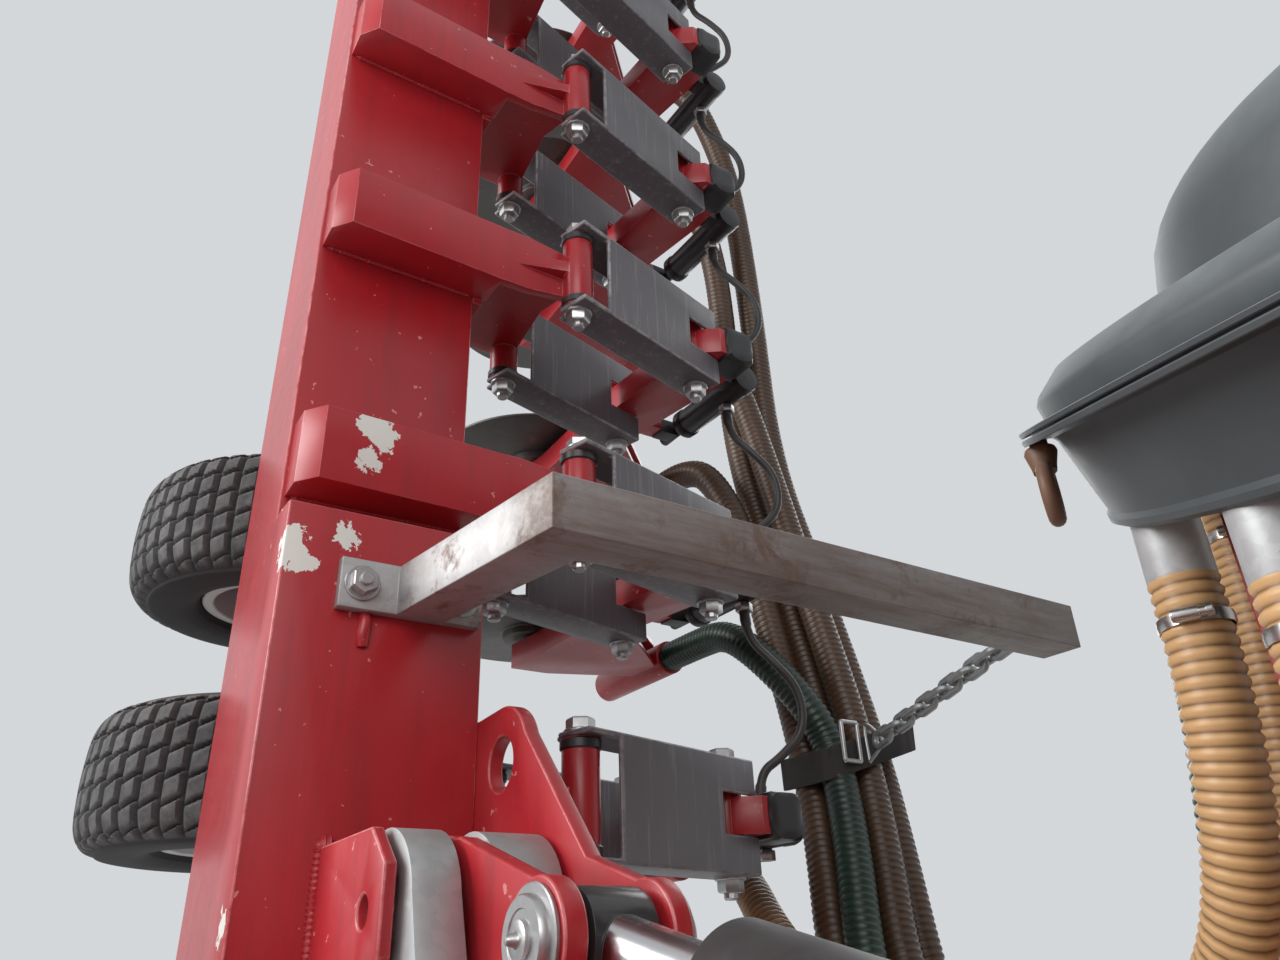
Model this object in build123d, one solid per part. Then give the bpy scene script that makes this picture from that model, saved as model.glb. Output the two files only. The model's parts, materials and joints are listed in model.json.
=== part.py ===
from build123d import *
from math import atan2, cos, degrees, hypot, pi, radians, sin, tan
import os

# Folded slurry injector, parked on its four stands, both wings upright.
# Millimetres. +Z is up, +Y is rearward, +X is to one side, and the machine
# mirrors about X = 0. The origin is under the middle of the machine, on the floor.
# Section frame, used for every boom section: X runs along the boom, Y rearward
# from the boom's middle, Z up from the boom's top face, as when it is at work.

# Boom
BOOM_DEPTH = 200.0
BOOM_HEIGHT = 150.0
BOOM_TOP = 800.0
BOOM_GAP = 7.0
UNIT_PITCH = 336.0
CENTRE_UNITS = 4
WING_UNITS = 6
FIRST_UNIT = 115.0
WING_TIP = 170.0
WING_ROOT = 60.0
SLEEVE_LENGTH = 371.0
SLEEVE_HEIGHT = 75.0
SLEEVE_LAP = 6.0

# Fold hinge
PIN_RISE = 200.0
PIN_D = 50.0
PIN_CLEAR = 0.05
BOSS_R = 58.0
CHEEK_R = 54.0
CHEEK_T = 17.0
NEAR_CHEEK_Y = 20.0
FAR_CHEEK_T = 15.0
LUG_T = 10.0
LUG_Y = -40.0
KNUCKLE_FRONT = (-25.0, 12.0)
KNUCKLE_REAR = (42.0, 95.0)
LOCK_HOLE = (128.0, 127.0)
LOCK_HOLE_D = 50.0
CRANK = (-26.0, 355.0)
CRANK_R = 38.0
CRANK_PIN_D = 36.0
CRANK_GAP = 0.4
CRANK_HEAD = 9.0

# Fold cylinder
RAM_BASE = (120.0, 62.0)
RAM_D = 80.0
RAM_LENGTH = 320.0
ROD_D = 40.0
EYE_R = 32.0
EYE_W = 48.0
BASE_PIN_D = 40.0

# Coulter linkage, as (Y, Z) in the section frame
TOP_FRONT = (220.0, 65.0)
LOW_FRONT = (208.0, -134.0)
TOP_REAR = (455.0, 0.0)
LOW_REAR = (443.0, -200.0)
PIVOT_D = 40.0
PIVOT_L = 117.4
LINK_W = 130.0
LINK_DEPTH = 60.0
LINK_T = 6.0
LINK_RISE = 26.0
LINK_FRONT_CUT = 28.0
SLOT_W = 46.0
SLOT_L = 44.0
CLAMP_W = 85.0
CLAMP_H = 60.0
BAND_FRONT = 4.0
EAR_T = 12.0
BRACKET_T = 16.0
BACK_PLATE_W = 100.0
CARRIER_W = 42.0
CARRIER_T = 8.0

# Press cylinder, disc and injection spout of a coulter
PRESS_Y = 572.0
PRESS_D = 45.0
PRESS_TOP = -17.0
PRESS_L = 170.0
PRESS_SEAT_Y = 536.0
PRESS_SEATS = (-40.0, -218.0)
PORT_Z = -72.0
PORT_D = 18.0
PORT_REACH = 36.0
OIL_HOSE_D = 12.0
DISC_Y = 450.0
DISC_Z = -500.0
DISC_R = 178.0
DISC_T = 6.0
HUB_R = 52.0
HUB_T = 34.0
DISC_GAP = 5.0
SPINDLE_D = 30.0
SPINDLE_L = 24.0
SPOUT_Y = 670.0
SPOUT_D = 58.0
SPOUT_TOP = -400.0
SPOUT_LOW = -610.0

# Gauge wheels, two to a wing on one axle
WHEEL_Y = 10.0
WHEEL_Z = -400.0
TYRE_R = 206.0
TYRE_W = 170.0
RIM_R = 100.0
RIM_T = 6.0
RIM_FLANGE = 10.0
RIM_CLEAR = 0.3
BEAD_INSET = 14.0
WHEEL_HUB_R = 40.0
AXLE_D = 50.0
AXLE_CLEAR = 0.05
WHEEL_S = (182.0, 500.0)
ARM_W = 80.0

# Hose bar, chain and strap of a wing
BAR = 50.0
BAR_S = 293.0
BAR_RISE = 335.0
BAR_Y = 30.0
BAR_LEAN = 35.0
BAR_REACH = 722.0
FOOT_Y = (-52.0, 93.0)
FOOT_T = 12.0
CHAIN_WIRE = 8.0
CHAIN_LINKS = 11
CHAIN_W = 27.0
CHAIN_CLEAR = 3.8
EYE_T = 6.0
EYE_HOLE_D = 18.0
EYE_DROP = 14.0

# Distributor, leaning forward, with its outlets pointing straight down
DIST_Y = 576.0
DIST_Z = 1448.0
DIST_LEAN = 30.0
RIM_PLATE_R = 450.0
RIM_PLATE_T = 12.0
CASING_R = 432.0
CASING_LOW_R = 418.0
CASING_DROP = 90.0
OUTLETS = 16
OUTLET_R = 388.0
OUTLET_D = 50.0
OUTLET_L = 60.0
LID_R = 425.0
LID_H = 36.0
DOME_R = 300.0
DOME_H = 120.0
MOTOR_D = 130.0
MOTOR_H = 190.0
POST_X = 300.0
POST = 60.0
FEED_D = 160.0
FEED_BORE_D = 148.0
FEED_Z = 330.0
FEED_BEND = 180.0
FLANGE_D = 240.0
FLANGE_T = 20.0

# Lower frame, headstock and stands
RAIL_X = 336.0
RAIL = 80.0
RAIL_Z = 430.0
FRONT_Y = -450.0
REAR_LEG_Y = 1055.0
CROSS = 100.0
PLATE_X = 430.0
PLATE_T = 25.0
MAST_X = 45.0
MAST_T = 20.0
TOP_LINK_Z = 1120.0
TOP_LINK_D = 32.0
LOW_LINK_Z = 500.0
LOW_LINK_D = 37.0
LOW_LINK_L = 90.0
INLET_REACH = 640.0
LEG = 60.0
LEG_WALL = 8.0
LEG_CLEAR = 0.25
SLEEVE_LOW = 520.0
SLEEVE_TOP = 760.0
LEG_TOP = 790.0
FOOT_PLATE = 130.0
FRONT_LEG_X = 560.0
FRONT_LEG_Y = -350.0

# Slurry hoses
HOSE_D = 50.0

# Derived places
PIN_X = (CENTRE_UNITS / 2 + 0.5) * UNIT_PITCH - FIRST_UNIT
PIN_Z = BOOM_TOP + PIN_RISE
CENTRE_HALF = PIN_X - WING_ROOT - BOOM_GAP
HALF_D = BOOM_DEPTH / 2
WING_S = [FIRST_UNIT + UNIT_PITCH * k for k in range(WING_UNITS)]
CENTRE_S = [UNIT_PITCH * (k - (CENTRE_UNITS - 1) / 2) for k in range(CENTRE_UNITS)]
WING_END = WING_S[-1] + WING_TIP
RAM_Y = (NEAR_CHEEK_Y + CHEEK_T + HALF_D) / 2
FRONT_REACH = -INLET_REACH
REAR_REACH = REAR_LEG_Y + FOOT_PLATE / 2
SHIFT_Y = -(FRONT_REACH + REAR_REACH) / 2

parts = {}


def block(x0, x1, y0, y1, z0, z1):
    """A box between two corners."""
    return Pos((x0 + x1) / 2, (y0 + y1) / 2, (z0 + z1) / 2) * Box(x1 - x0, y1 - y0, z1 - z0)


def rod_x(d, x0, x1, y, z):
    """A round bar along X."""
    return Pos((x0 + x1) / 2, y, z) * Rot(0, 90, 0) * Cylinder(d / 2, x1 - x0)


def rod_y(d, y0, y1, x, z):
    """A round bar along Y."""
    return Pos(x, (y0 + y1) / 2, z) * Rot(90, 0, 0) * Cylinder(d / 2, y1 - y0)


def rod_z(d, z0, z1, x, y):
    """A round bar along Z."""
    return Pos(x, y, (z0 + z1) / 2) * Cylinder(d / 2, z1 - z0)


def plate_xz(points, y0, y1):
    """A plate with an outline in X and Z, from y0 to y1."""
    face = make_face(Polyline(*[(x, y0, z) for x, z in points], close=True))
    return extrude(face, amount=y1 - y0, dir=(0, 1, 0))


def plate_yz(points, x0, x1):
    """A plate with an outline in Y and Z, from x0 to x1."""
    face = make_face(Polyline(*[(x0, y, z) for y, z in points], close=True))
    return extrude(face, amount=x1 - x0, dir=(1, 0, 0))


def solids_of(things):
    """One compound of separate solids."""
    return Compound(children=[s for thing in things for s in thing.solids()])


def to_wing(shape):
    """From a wing's section frame to the right wing, folded upright."""
    return Pos(PIN_X, 0, PIN_Z) * Rot(0, -90, 0) * Pos(0, 0, -PIN_RISE) * shape


def to_centre(shape):
    """From the section frame to the centre boom."""
    return Pos(0, 0, BOOM_TOP) * shape


def keep(name, shape):
    """Store one sub-part in the machine's own frame."""
    parts[name] = Pos(0, SHIFT_Y, 0) * shape


def keep_pair(name, shape):
    """Store a sub-part of the right side and its mirror on the left."""
    keep(name + "_right", shape)
    keep(name + "_left", mirror(shape, about=Plane.YZ))


def keep_both(name, shape):
    """Store a sub-part of the right side and its mirror in one node."""
    keep(name, solids_of([shape, mirror(shape, about=Plane.YZ)]))


# Coulter unit


def bracket(s, banded, root=HALF_D):
    """Carries one parallelogram: clamp band, ear, back plate, web and pivot tubes."""
    y_back = root + EAR_T
    web = [
        (root, 44.0),
        (TOP_FRONT[0] - 6, TOP_FRONT[1] + 12),
        (TOP_FRONT[0] + 12, TOP_FRONT[1] - 8),
        (TOP_FRONT[0] - 10, -20.0),
        (LOW_FRONT[0] + 14, LOW_FRONT[1] + 6),
        (LOW_FRONT[0] - 4, LOW_FRONT[1] - 16),
        (root, -BOOM_HEIGHT + 4),
    ]
    body = plate_yz(web, s - BRACKET_T / 2, s + BRACKET_T / 2)
    half = BACK_PLATE_W / 2
    body += block(s - half, s + half, root, y_back, -BOOM_HEIGHT, 0)
    body += rod_x(PIVOT_D, s - PIVOT_L / 2, s + PIVOT_L / 2, *TOP_FRONT)
    body += rod_x(PIVOT_D, s - PIVOT_L / 2, s + PIVOT_L / 2, *LOW_FRONT)
    if banded:
        w = CLAMP_W / 2
        band = [
            (BAND_FRONT - HALF_D, 0.0),
            (BAND_FRONT - HALF_D, CLAMP_H - 24),
            (BAND_FRONT - HALF_D + 18, CLAMP_H),
            (y_back + 5, CLAMP_H - 6),
            (y_back + 5, 0.0),
        ]
        body += plate_yz(band, s - w, s + w)
        ear = [
            (s - w, y_back),
            (s - w, y_back + 40),
            (s - 34, TOP_FRONT[0] - 5),
            (s + 34, TOP_FRONT[0] - 5),
            (s + w, y_back + 40),
            (s + w, y_back),
        ]
        face = make_face(Polyline(*[(x, y, 42.0) for x, y in ear], close=True))
        body += extrude(face, amount=EAR_T, dir=(0, 0, 1))
    return body


def link(s, front, rear):
    """A pressed channel from pivot to pivot, with the carrier's slot near its rear end."""
    length = hypot(rear[0] - front[0], rear[1] - front[1])
    lean = degrees(atan2(rear[1] - front[1], rear[0] - front[0]))
    w = LINK_W / 2
    top = LINK_RISE + LINK_T
    tongue = LINK_DEPTH - top
    y0 = -PIVOT_D * 0.5
    y1 = length + PIVOT_D * 0.5
    outer = block(-w, w, y0, y1, -tongue, top)
    inner = block(-w + LINK_T, w - LINK_T, y0 - 1, y1 + 1, -tongue - 1, top - LINK_T)
    front_cut = block(-w + LINK_T, w - LINK_T, y0 - 1, LINK_FRONT_CUT, -1, top + 1)
    slot_y = length - SLOT_L
    slot = block(-SLOT_W / 2, SLOT_W / 2, slot_y, y1 + 1, 0, top + 1)
    channel = outer - inner - front_cut - slot
    for y, side in ((0.0, -1), (length, 1)):
        tip = y + side * PIVOT_D * 0.5
        channel -= block(-w - 1, w + 1, min(tip, tip - side * 12), max(tip, tip - side * 12), -tongue - 1, -14)
    return Pos(s, front[0], front[1]) * Rot(lean, 0, 0) * channel


def carrier(s, side):
    """The upright folded carrier of one coulter, with its cross tubes, lugs and spindle."""
    profile = [
        (TOP_REAR[0] - 20, -8.0),
        (TOP_REAR[0] - 2, 28.0),
        (TOP_REAR[0] + 20, 44.0),
        (TOP_REAR[0] + 62, 44.0),
        (TOP_REAR[0] + 76, 20.0),
        (TOP_REAR[0] + 70, -60.0),
        (LOW_REAR[0] + 52, -260.0),
        (SPOUT_Y - 34, -400.0),
        (SPOUT_Y - 34, -470.0),
        (DISC_Y + 40, -520.0),
        (DISC_Y - 30, -520.0),
        (DISC_Y - 22, -430.0),
        (LOW_REAR[0] - 22, -180.0),
    ]
    w = CARRIER_W / 2
    body = plate_yz(profile, s - w, s + w)
    inside = [
        (TOP_REAR[0] + 26, -70.0),
        (TOP_REAR[0] + 80, -70.0),
        (SPOUT_Y, -400.0),
        (SPOUT_Y, -460.0),
        (DISC_Y + 40, -460.0),
        (LOW_REAR[0] + 22, -240.0),
    ]
    body -= plate_yz(inside, s - w + CARRIER_T, s + w - CARRIER_T)
    for pivot in (TOP_REAR, LOW_REAR):
        body += rod_x(PIVOT_D, s - PIVOT_L / 2, s + PIVOT_L / 2, *pivot)
    for z in PRESS_SEATS:
        body += block(s - 10, s + 10, PRESS_SEAT_Y - 60, PRESS_SEAT_Y, z - 16, z + 16)
    x0, x1 = sorted((s + side * (w - 1), s + side * (w + DISC_GAP + SPINDLE_L)))
    body += rod_x(SPINDLE_D, x0, x1, DISC_Y, DISC_Z)
    return body


def press_cylinder(s):
    """The short down-pressure cylinder behind the carrier."""
    y = PRESS_Y
    body = rod_z(PRESS_D, PRESS_TOP - PRESS_L, PRESS_TOP, s, y)
    body += rod_z(PRESS_D * 0.45, PRESS_TOP - PRESS_L - 60, PRESS_TOP - PRESS_L, s, y)
    body += rod_x(PORT_D, s - PORT_REACH, s + PORT_REACH, y, PORT_Z)
    for z in PRESS_SEATS:
        body += block(s - 12, s + 12, PRESS_SEAT_Y, y, z - 14, z + 14)
    return body


def outward(s):
    """The side of a unit on which its disc runs, away from the machine's middle."""
    return -1 if s < 0 else 1


def disc(s, side):
    """One cutting disc with its hub, beside the carrier."""
    x = s + side * (CARRIER_W / 2 + DISC_GAP)
    hub = rod_x(2 * HUB_R, min(x, x + side * HUB_T), max(x, x + side * HUB_T), DISC_Y, DISC_Z)
    mid = x + side * HUB_T / 2
    hub += rod_x(2 * DISC_R, mid - DISC_T / 2, mid + DISC_T / 2, DISC_Y, DISC_Z)
    x0, x1 = sorted((x - side, x + side * (SPINDLE_L + 2)))
    return hub - rod_x(SPINDLE_D + 2 * PIN_CLEAR, x0, x1, DISC_Y, DISC_Z)


def spout(s):
    """The injection spout behind the disc, open at both ends."""
    return rod_z(SPOUT_D, SPOUT_LOW, SPOUT_TOP, s, SPOUT_Y)


def section(prefix, places, place, brackets, store):
    """All coulter pieces of one boom section."""
    store(prefix + "_brackets", place(solids_of(brackets)))
    store(prefix + "_upper_links", place(solids_of([link(s, TOP_FRONT, TOP_REAR) for s in places])))
    store(prefix + "_lower_links", place(solids_of([link(s, LOW_FRONT, LOW_REAR) for s in places])))
    carriers = [carrier(s, outward(s)) for s in places]
    store(prefix + "_carriers", place(solids_of(carriers + [spout(s) for s in places])))
    store(prefix + "_press_cylinders", place(solids_of([press_cylinder(s) for s in places])))
    store(prefix + "_discs", place(solids_of([disc(s, outward(s)) for s in places])))


# The centre's brackets have no band, and a wing's first one stands on the far cheek.
centre_brackets = [bracket(s, False) for s in CENTRE_S]
wing_brackets = [bracket(WING_S[0], False, HALF_D + FAR_CHEEK_T)] + [bracket(s, True) for s in WING_S[1:]]
section("centre", CENTRE_S, to_centre, centre_brackets, keep)
section("wing", WING_S, to_wing, wing_brackets, keep_pair)

# Booms and hinge


def cheek(y0, y1, lock):
    """A hinge cheek: root on the boom, lobe round the pin, crank out to the cylinder."""
    pin = (0.0, PIN_RISE)
    outline = [
        (-WING_ROOT + 2, SLEEVE_HEIGHT),
        (-WING_ROOT + 2, PIN_RISE - 20),
        (CRANK[0] - CRANK_R * 0.9, CRANK[1] - 12),
        (CRANK[0] + CRANK_R * 0.98, CRANK[1] - 6),
        (pin[0] + CHEEK_R * 0.93, pin[1] + 28),
        (pin[0] + CHEEK_R * 0.8, SLEEVE_HEIGHT),
    ]
    body = plate_xz(outline, y0, y1)
    body += rod_y(2 * CHEEK_R, y0, y1, *pin)
    body += rod_y(2 * CRANK_R, y0, y1, *CRANK)
    if lock:
        top = LOCK_HOLE[0] + 30
        lobe = [
            (-WING_ROOT + 2, -BOOM_HEIGHT + 10),
            (-WING_ROOT + 2, SLEEVE_HEIGHT + 5),
            (CRANK[0] + 10, CRANK[1] - 30),
            (LOCK_HOLE[0] + 20, LOCK_HOLE[1] + 48),
            (LOCK_HOLE[0] + 52, LOCK_HOLE[1]),
            (top + 20, SLEEVE_HEIGHT + 5),
            (top + 20, -BOOM_HEIGHT + 10),
        ]
        body += plate_xz(lobe, y0, y1)
        body += rod_y(2 * 52.0, y0, y1, *LOCK_HOLE)
        body -= rod_y(LOCK_HOLE_D, y0 - 1, y1 + 1, *LOCK_HOLE)
    return body - rod_y(PIN_D + 2 * PIN_CLEAR, y0 - 1, y1 + 1, *pin)


def wing_boom():
    """The wing's square tube with the thicker sleeve at its root and the lug in front."""
    body = block(-WING_ROOT, WING_END, -HALF_D, HALF_D, -BOOM_HEIGHT, 0)
    body += block(-WING_ROOT, SLEEVE_LENGTH, -HALF_D - 5, HALF_D, 0, SLEEVE_HEIGHT)
    lug = [(-60.0, 75.0), (-60.0, 190.0), (-32.0, 240.0), (30.0, 240.0), (58.0, 205.0), (58.0, 75.0)]
    body += plate_xz(lug, LUG_Y, LUG_Y + LUG_T)
    return body - rod_y(24.0, LUG_Y - 1, LUG_Y + LUG_T + 1, 0, PIN_RISE)


far_cheek = cheek(HALF_D, HALF_D + FAR_CHEEK_T, True)
near_cheek = cheek(NEAR_CHEEK_Y, NEAR_CHEEK_Y + CHEEK_T, False)
near_cheek += rod_y(CRANK_PIN_D + 14, NEAR_CHEEK_Y - CRANK_HEAD, NEAR_CHEEK_Y, *CRANK)
far_cheek += rod_y(CRANK_PIN_D + 14, HALF_D + FAR_CHEEK_T, HALF_D + FAR_CHEEK_T + CRANK_HEAD, *CRANK)
keep_pair("wing_boom", to_wing(wing_boom()))
keep_pair("wing_hinge_cheeks", to_wing(solids_of([near_cheek, far_cheek])))


def knuckle(y0, y1):
    """One galvanised hinge upright on the centre boom's end."""
    outline = [
        (CENTRE_HALF - 90, BOOM_TOP),
        (CENTRE_HALF - 2, BOOM_TOP),
        (CENTRE_HALF - 2, BOOM_TOP + 88),
        (PIN_X + 50, PIN_Z - 30),
        (PIN_X - 20, PIN_Z + 54),
        (PIN_X - 57, PIN_Z + 10),
        (CENTRE_HALF - 16, BOOM_TOP + 130),
    ]
    body = plate_xz(outline, y0, y1) + rod_y(2 * BOSS_R, y0, y1, PIN_X, PIN_Z)
    return body - rod_y(PIN_D + 2 * PIN_CLEAR, y0 - 1, y1 + 1, PIN_X, PIN_Z)


fold_pin = rod_y(PIN_D, KNUCKLE_FRONT[0] - 2, HALF_D + FAR_CHEEK_T + 6, PIN_X, PIN_Z)
fold_pin += rod_y(PIN_D + 12, KNUCKLE_FRONT[1] + 1, NEAR_CHEEK_Y - 1, PIN_X, PIN_Z)
keep_both("hinge_knuckles", knuckle(*KNUCKLE_FRONT) + knuckle(*KNUCKLE_REAR))
keep_both("hinge_pins", fold_pin)

centre = block(-CENTRE_HALF, CENTRE_HALF, -HALF_D, HALF_D, BOOM_TOP - BOOM_HEIGHT, BOOM_TOP)
keep("centre_boom", centre)

# Fold cylinders

base = (RAM_BASE[0], BOOM_TOP + RAM_BASE[1])
eye = (PIN_X + PIN_RISE - CRANK[1], PIN_Z + CRANK[0])
ram_run = hypot(eye[0] - base[0], eye[1] - base[1])
ram_lean = degrees(atan2(eye[1] - base[1], eye[0] - base[0]))


def along_ram(shape):
    """From the cylinder's own frame, X along its axis from the base pin."""
    return Pos(base[0], RAM_Y, base[1]) * Rot(0, -ram_lean, 0) * shape


barrel = rod_x(RAM_D, 30, RAM_LENGTH, 0, 0) + rod_y(2 * EYE_R, -EYE_W / 2, EYE_W / 2, 0, 0)
barrel -= rod_y(BASE_PIN_D + 2 * PIN_CLEAR, -EYE_W, EYE_W, 0, 0)
barrel -= rod_x(ROD_D + 2 * PIN_CLEAR, 60, RAM_LENGTH + 1, 0, 0)
rod = rod_x(ROD_D, 64, ram_run - EYE_R + 6, 0, 0)
rod += rod_y(2 * EYE_R, -EYE_W / 2, EYE_W / 2, ram_run, 0)
rod += rod_y(CRANK_PIN_D, NEAR_CHEEK_Y + CHEEK_T + CRANK_GAP - RAM_Y, HALF_D - CRANK_GAP - RAM_Y, ram_run, 0)
keep_pair("fold_cylinder_barrel", along_ram(barrel))
keep_pair("fold_cylinder_rod", along_ram(rod))

ram_lugs = []
for y0, y1 in ((RAM_Y - EYE_W / 2 - 10, RAM_Y - EYE_W / 2 - 1), (RAM_Y + EYE_W / 2 + 1, HALF_D)):
    outline = [(base[0] - 55, BOOM_TOP), (base[0] + 45, BOOM_TOP), (base[0] + 24, base[1] + 14)]
    outline += [(base[0], base[1] + 26), (base[0] - 24, base[1] + 14)]
    ram_lugs.append(plate_xz(outline, y0, y1))
ram_pin = rod_y(BASE_PIN_D, RAM_Y - EYE_W / 2 - 6, RAM_Y + EYE_W / 2 + 5, *base)
keep_both("cylinder_brackets", ram_lugs[0] + ram_pin + ram_lugs[1])

# Gauge wheels


def wheel_arm():
    """The arm under the wing with the fixed axle of both wheels."""
    mid = sum(WHEEL_S) / 2
    half = ARM_W / 2
    body = block(mid - half - 20, mid + half + 20, WHEEL_Y - 70, WHEEL_Y + 70, -BOOM_HEIGHT - 14, -BOOM_HEIGHT)
    body += block(mid - half, mid + half, WHEEL_Y - half, WHEEL_Y + half, WHEEL_Z - 30, -BOOM_HEIGHT - 14)
    body += rod_x(90, mid - 46, mid + 46, WHEEL_Y, WHEEL_Z)
    body += rod_x(AXLE_D, WHEEL_S[0] - 40, WHEEL_S[1] + 40, WHEEL_Y, WHEEL_Z)
    return body


def rim(s):
    """A pressed wheel: barrel with flanges, disc and hub."""
    half = TYRE_W / 2 - BEAD_INSET
    points = [
        (AXLE_D / 2 + AXLE_CLEAR, -38.0),
        (WHEEL_HUB_R, -38.0),
        (WHEEL_HUB_R, -RIM_T),
        (RIM_R - RIM_T, -RIM_T),
        (RIM_R - RIM_T, -half),
        (RIM_R + RIM_FLANGE, -half),
        (RIM_R + RIM_FLANGE, -half + RIM_T),
        (RIM_R, -half + RIM_T),
        (RIM_R, half - RIM_T),
        (RIM_R + RIM_FLANGE, half - RIM_T),
        (RIM_R + RIM_FLANGE, half),
        (RIM_R - RIM_T, half),
        (RIM_R - RIM_T, 0.0),
        (WHEEL_HUB_R, 0.0),
        (WHEEL_HUB_R, 38.0),
        (AXLE_D / 2 + AXLE_CLEAR, 38.0),
    ]
    face = make_face(Polyline(*[(r, 0, z) for r, z in points], close=True))
    return Pos(s, WHEEL_Y, WHEEL_Z) * Rot(0, 90, 0) * revolve(face, Axis.Z)


def tyre(s):
    """A wide turf tyre, out to its tread's tips."""
    half = TYRE_W / 2
    bead = half - BEAD_INSET - RIM_T - RIM_CLEAR
    points = [
        (RIM_R + RIM_CLEAR, -bead),
        (RIM_R + RIM_FLANGE + RIM_CLEAR, -bead),
        (RIM_R + RIM_FLANGE + 6, -half + 6),
        (TYRE_R - 60, -half),
        (TYRE_R - 22, -half + 6),
        (TYRE_R - 4, -half + 26),
        (TYRE_R, -half + 60),
        (TYRE_R, half - 60),
        (TYRE_R - 4, half - 26),
        (TYRE_R - 22, half - 6),
        (TYRE_R - 60, half),
        (RIM_R + RIM_FLANGE + 6, half - 6),
        (RIM_R + RIM_FLANGE + RIM_CLEAR, bead),
        (RIM_R + RIM_CLEAR, bead),
    ]
    face = make_face(Polyline(*[(r, 0, z) for r, z in points], close=True))
    return Pos(s, WHEEL_Y, WHEEL_Z) * Rot(0, 90, 0) * revolve(face, Axis.Z)


keep_pair("wheel_arm", to_wing(wheel_arm()))
keep_pair("wheel_rims", to_wing(solids_of([rim(s) for s in WHEEL_S])))
keep_pair("tyres", to_wing(solids_of([tyre(s) for s in WHEEL_S])))

# Hose bar, chain and strap

bar_low = BAR_RISE - BAR
bar_root = SLEEVE_HEIGHT + FOOT_T
foot = block(BAR_S - BAR / 2, BAR_S + BAR / 2, *FOOT_Y, SLEEVE_HEIGHT, bar_root)
hose_bar = foot + plate_yz(
    [(BAR_Y - BAR / 2, bar_root), (BAR_Y - BAR / 2 + BAR_LEAN, BAR_RISE), (BAR_REACH, BAR_RISE),
     (BAR_REACH, bar_low), (BAR_Y + BAR / 2 + BAR_LEAN, bar_low), (BAR_Y + BAR / 2, bar_root)],
    BAR_S - BAR / 2, BAR_S + BAR / 2,
)


def chain_eye(s, y, z, z_root):
    """A flat eye that an end link of the chain hangs in."""
    low, high = sorted((z_root, z + (EYE_DROP - 2 if z > z_root else 2 - EYE_DROP)))
    eye = block(s - EYE_T / 2, s + EYE_T / 2, y - 14, y + 14, low, high)
    return eye - rod_x(EYE_HOLE_D, s - EYE_T, s + EYE_T, y, z)


keep_pair("hose_bar", to_wing(hose_bar + chain_eye(BAR_S, BAR_REACH - 30, bar_low - EYE_DROP, bar_low)))

# The strap's box round the hose bundle, in the section frame: S, Y and Z ranges
STRAP_S = (214.0, 262.0)
STRAP_Y = (690.0, 888.0)
STRAP_Z = (-188.0, -46.0)
STRAP_T = 4.0
strap = block(*STRAP_S, STRAP_Y[0], STRAP_Y[1], *STRAP_Z)
strap = fillet(strap.edges().filter_by(Axis.X), 34)
hole = block(STRAP_S[0] - 1, STRAP_S[1] + 1, STRAP_Y[0] + STRAP_T, STRAP_Y[1] - STRAP_T,
             STRAP_Z[0] + STRAP_T, STRAP_Z[1] - STRAP_T)
strap -= fillet(hole.edges().filter_by(Axis.X), 34 - STRAP_T)
strap += chain_eye(sum(STRAP_S) / 2, STRAP_Y[0] + 70, STRAP_Z[1] + EYE_DROP, STRAP_Z[1])
keep_pair("hose_strap", to_wing(strap))

chain_from = Vector(BAR_S, BAR_REACH - 30, bar_low - EYE_DROP)
chain_to = Vector(sum(STRAP_S) / 2, STRAP_Y[0] + 70, STRAP_Z[1] + EYE_DROP)
chain_run = chain_to - chain_from
pitch = (chain_run.length - CHAIN_WIRE - CHAIN_CLEAR) / CHAIN_LINKS


def chain_link(index):
    """One oval link, every second one turned a quarter."""
    inside = pitch + CHAIN_CLEAR
    outer = SlotOverall(inside + 2 * CHAIN_WIRE, CHAIN_W)
    inner = SlotOverall(inside, CHAIN_W - 2 * CHAIN_WIRE)
    body = extrude(outer - inner, amount=CHAIN_WIRE / 2, both=True)
    middle = index * pitch + (inside + CHAIN_WIRE) / 2
    return Pos(middle, 0, 0) * Rot(90 * (index % 2), 0, 0) * body


chain_plane = Plane(origin=chain_from, x_dir=chain_run, z_dir=chain_run.cross(Vector(1, 0, 0)))
chain = solids_of([chain_plane * chain_link(k) for k in range(CHAIN_LINKS)])
keep_pair("hose_chain", to_wing(chain))

# Lower frame, headstock and distributor


def lean(shape):
    """From the distributor's own frame, Z along its axis from the rim plate, to the machine."""
    return Pos(0, DIST_Y, DIST_Z) * Rot(DIST_LEAN, 0, 0) * shape


def casing_floor(y):
    """The height of the leaning casing's underside at a place along the machine."""
    return DIST_Z + (y - DIST_Y) * tan(radians(DIST_LEAN)) - CASING_DROP / cos(radians(DIST_LEAN))


def outlet_top(index):
    """Where the middle of one outlet meets the casing's underside."""
    angle = radians((index + 0.5) * 360 / OUTLETS)
    back = -OUTLET_R * cos(angle)
    tilt = radians(DIST_LEAN)
    y = DIST_Y + back * cos(tilt) + CASING_DROP * sin(tilt)
    z = DIST_Z + back * sin(tilt) - CASING_DROP * cos(tilt)
    return OUTLET_R * sin(angle), y, z


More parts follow.
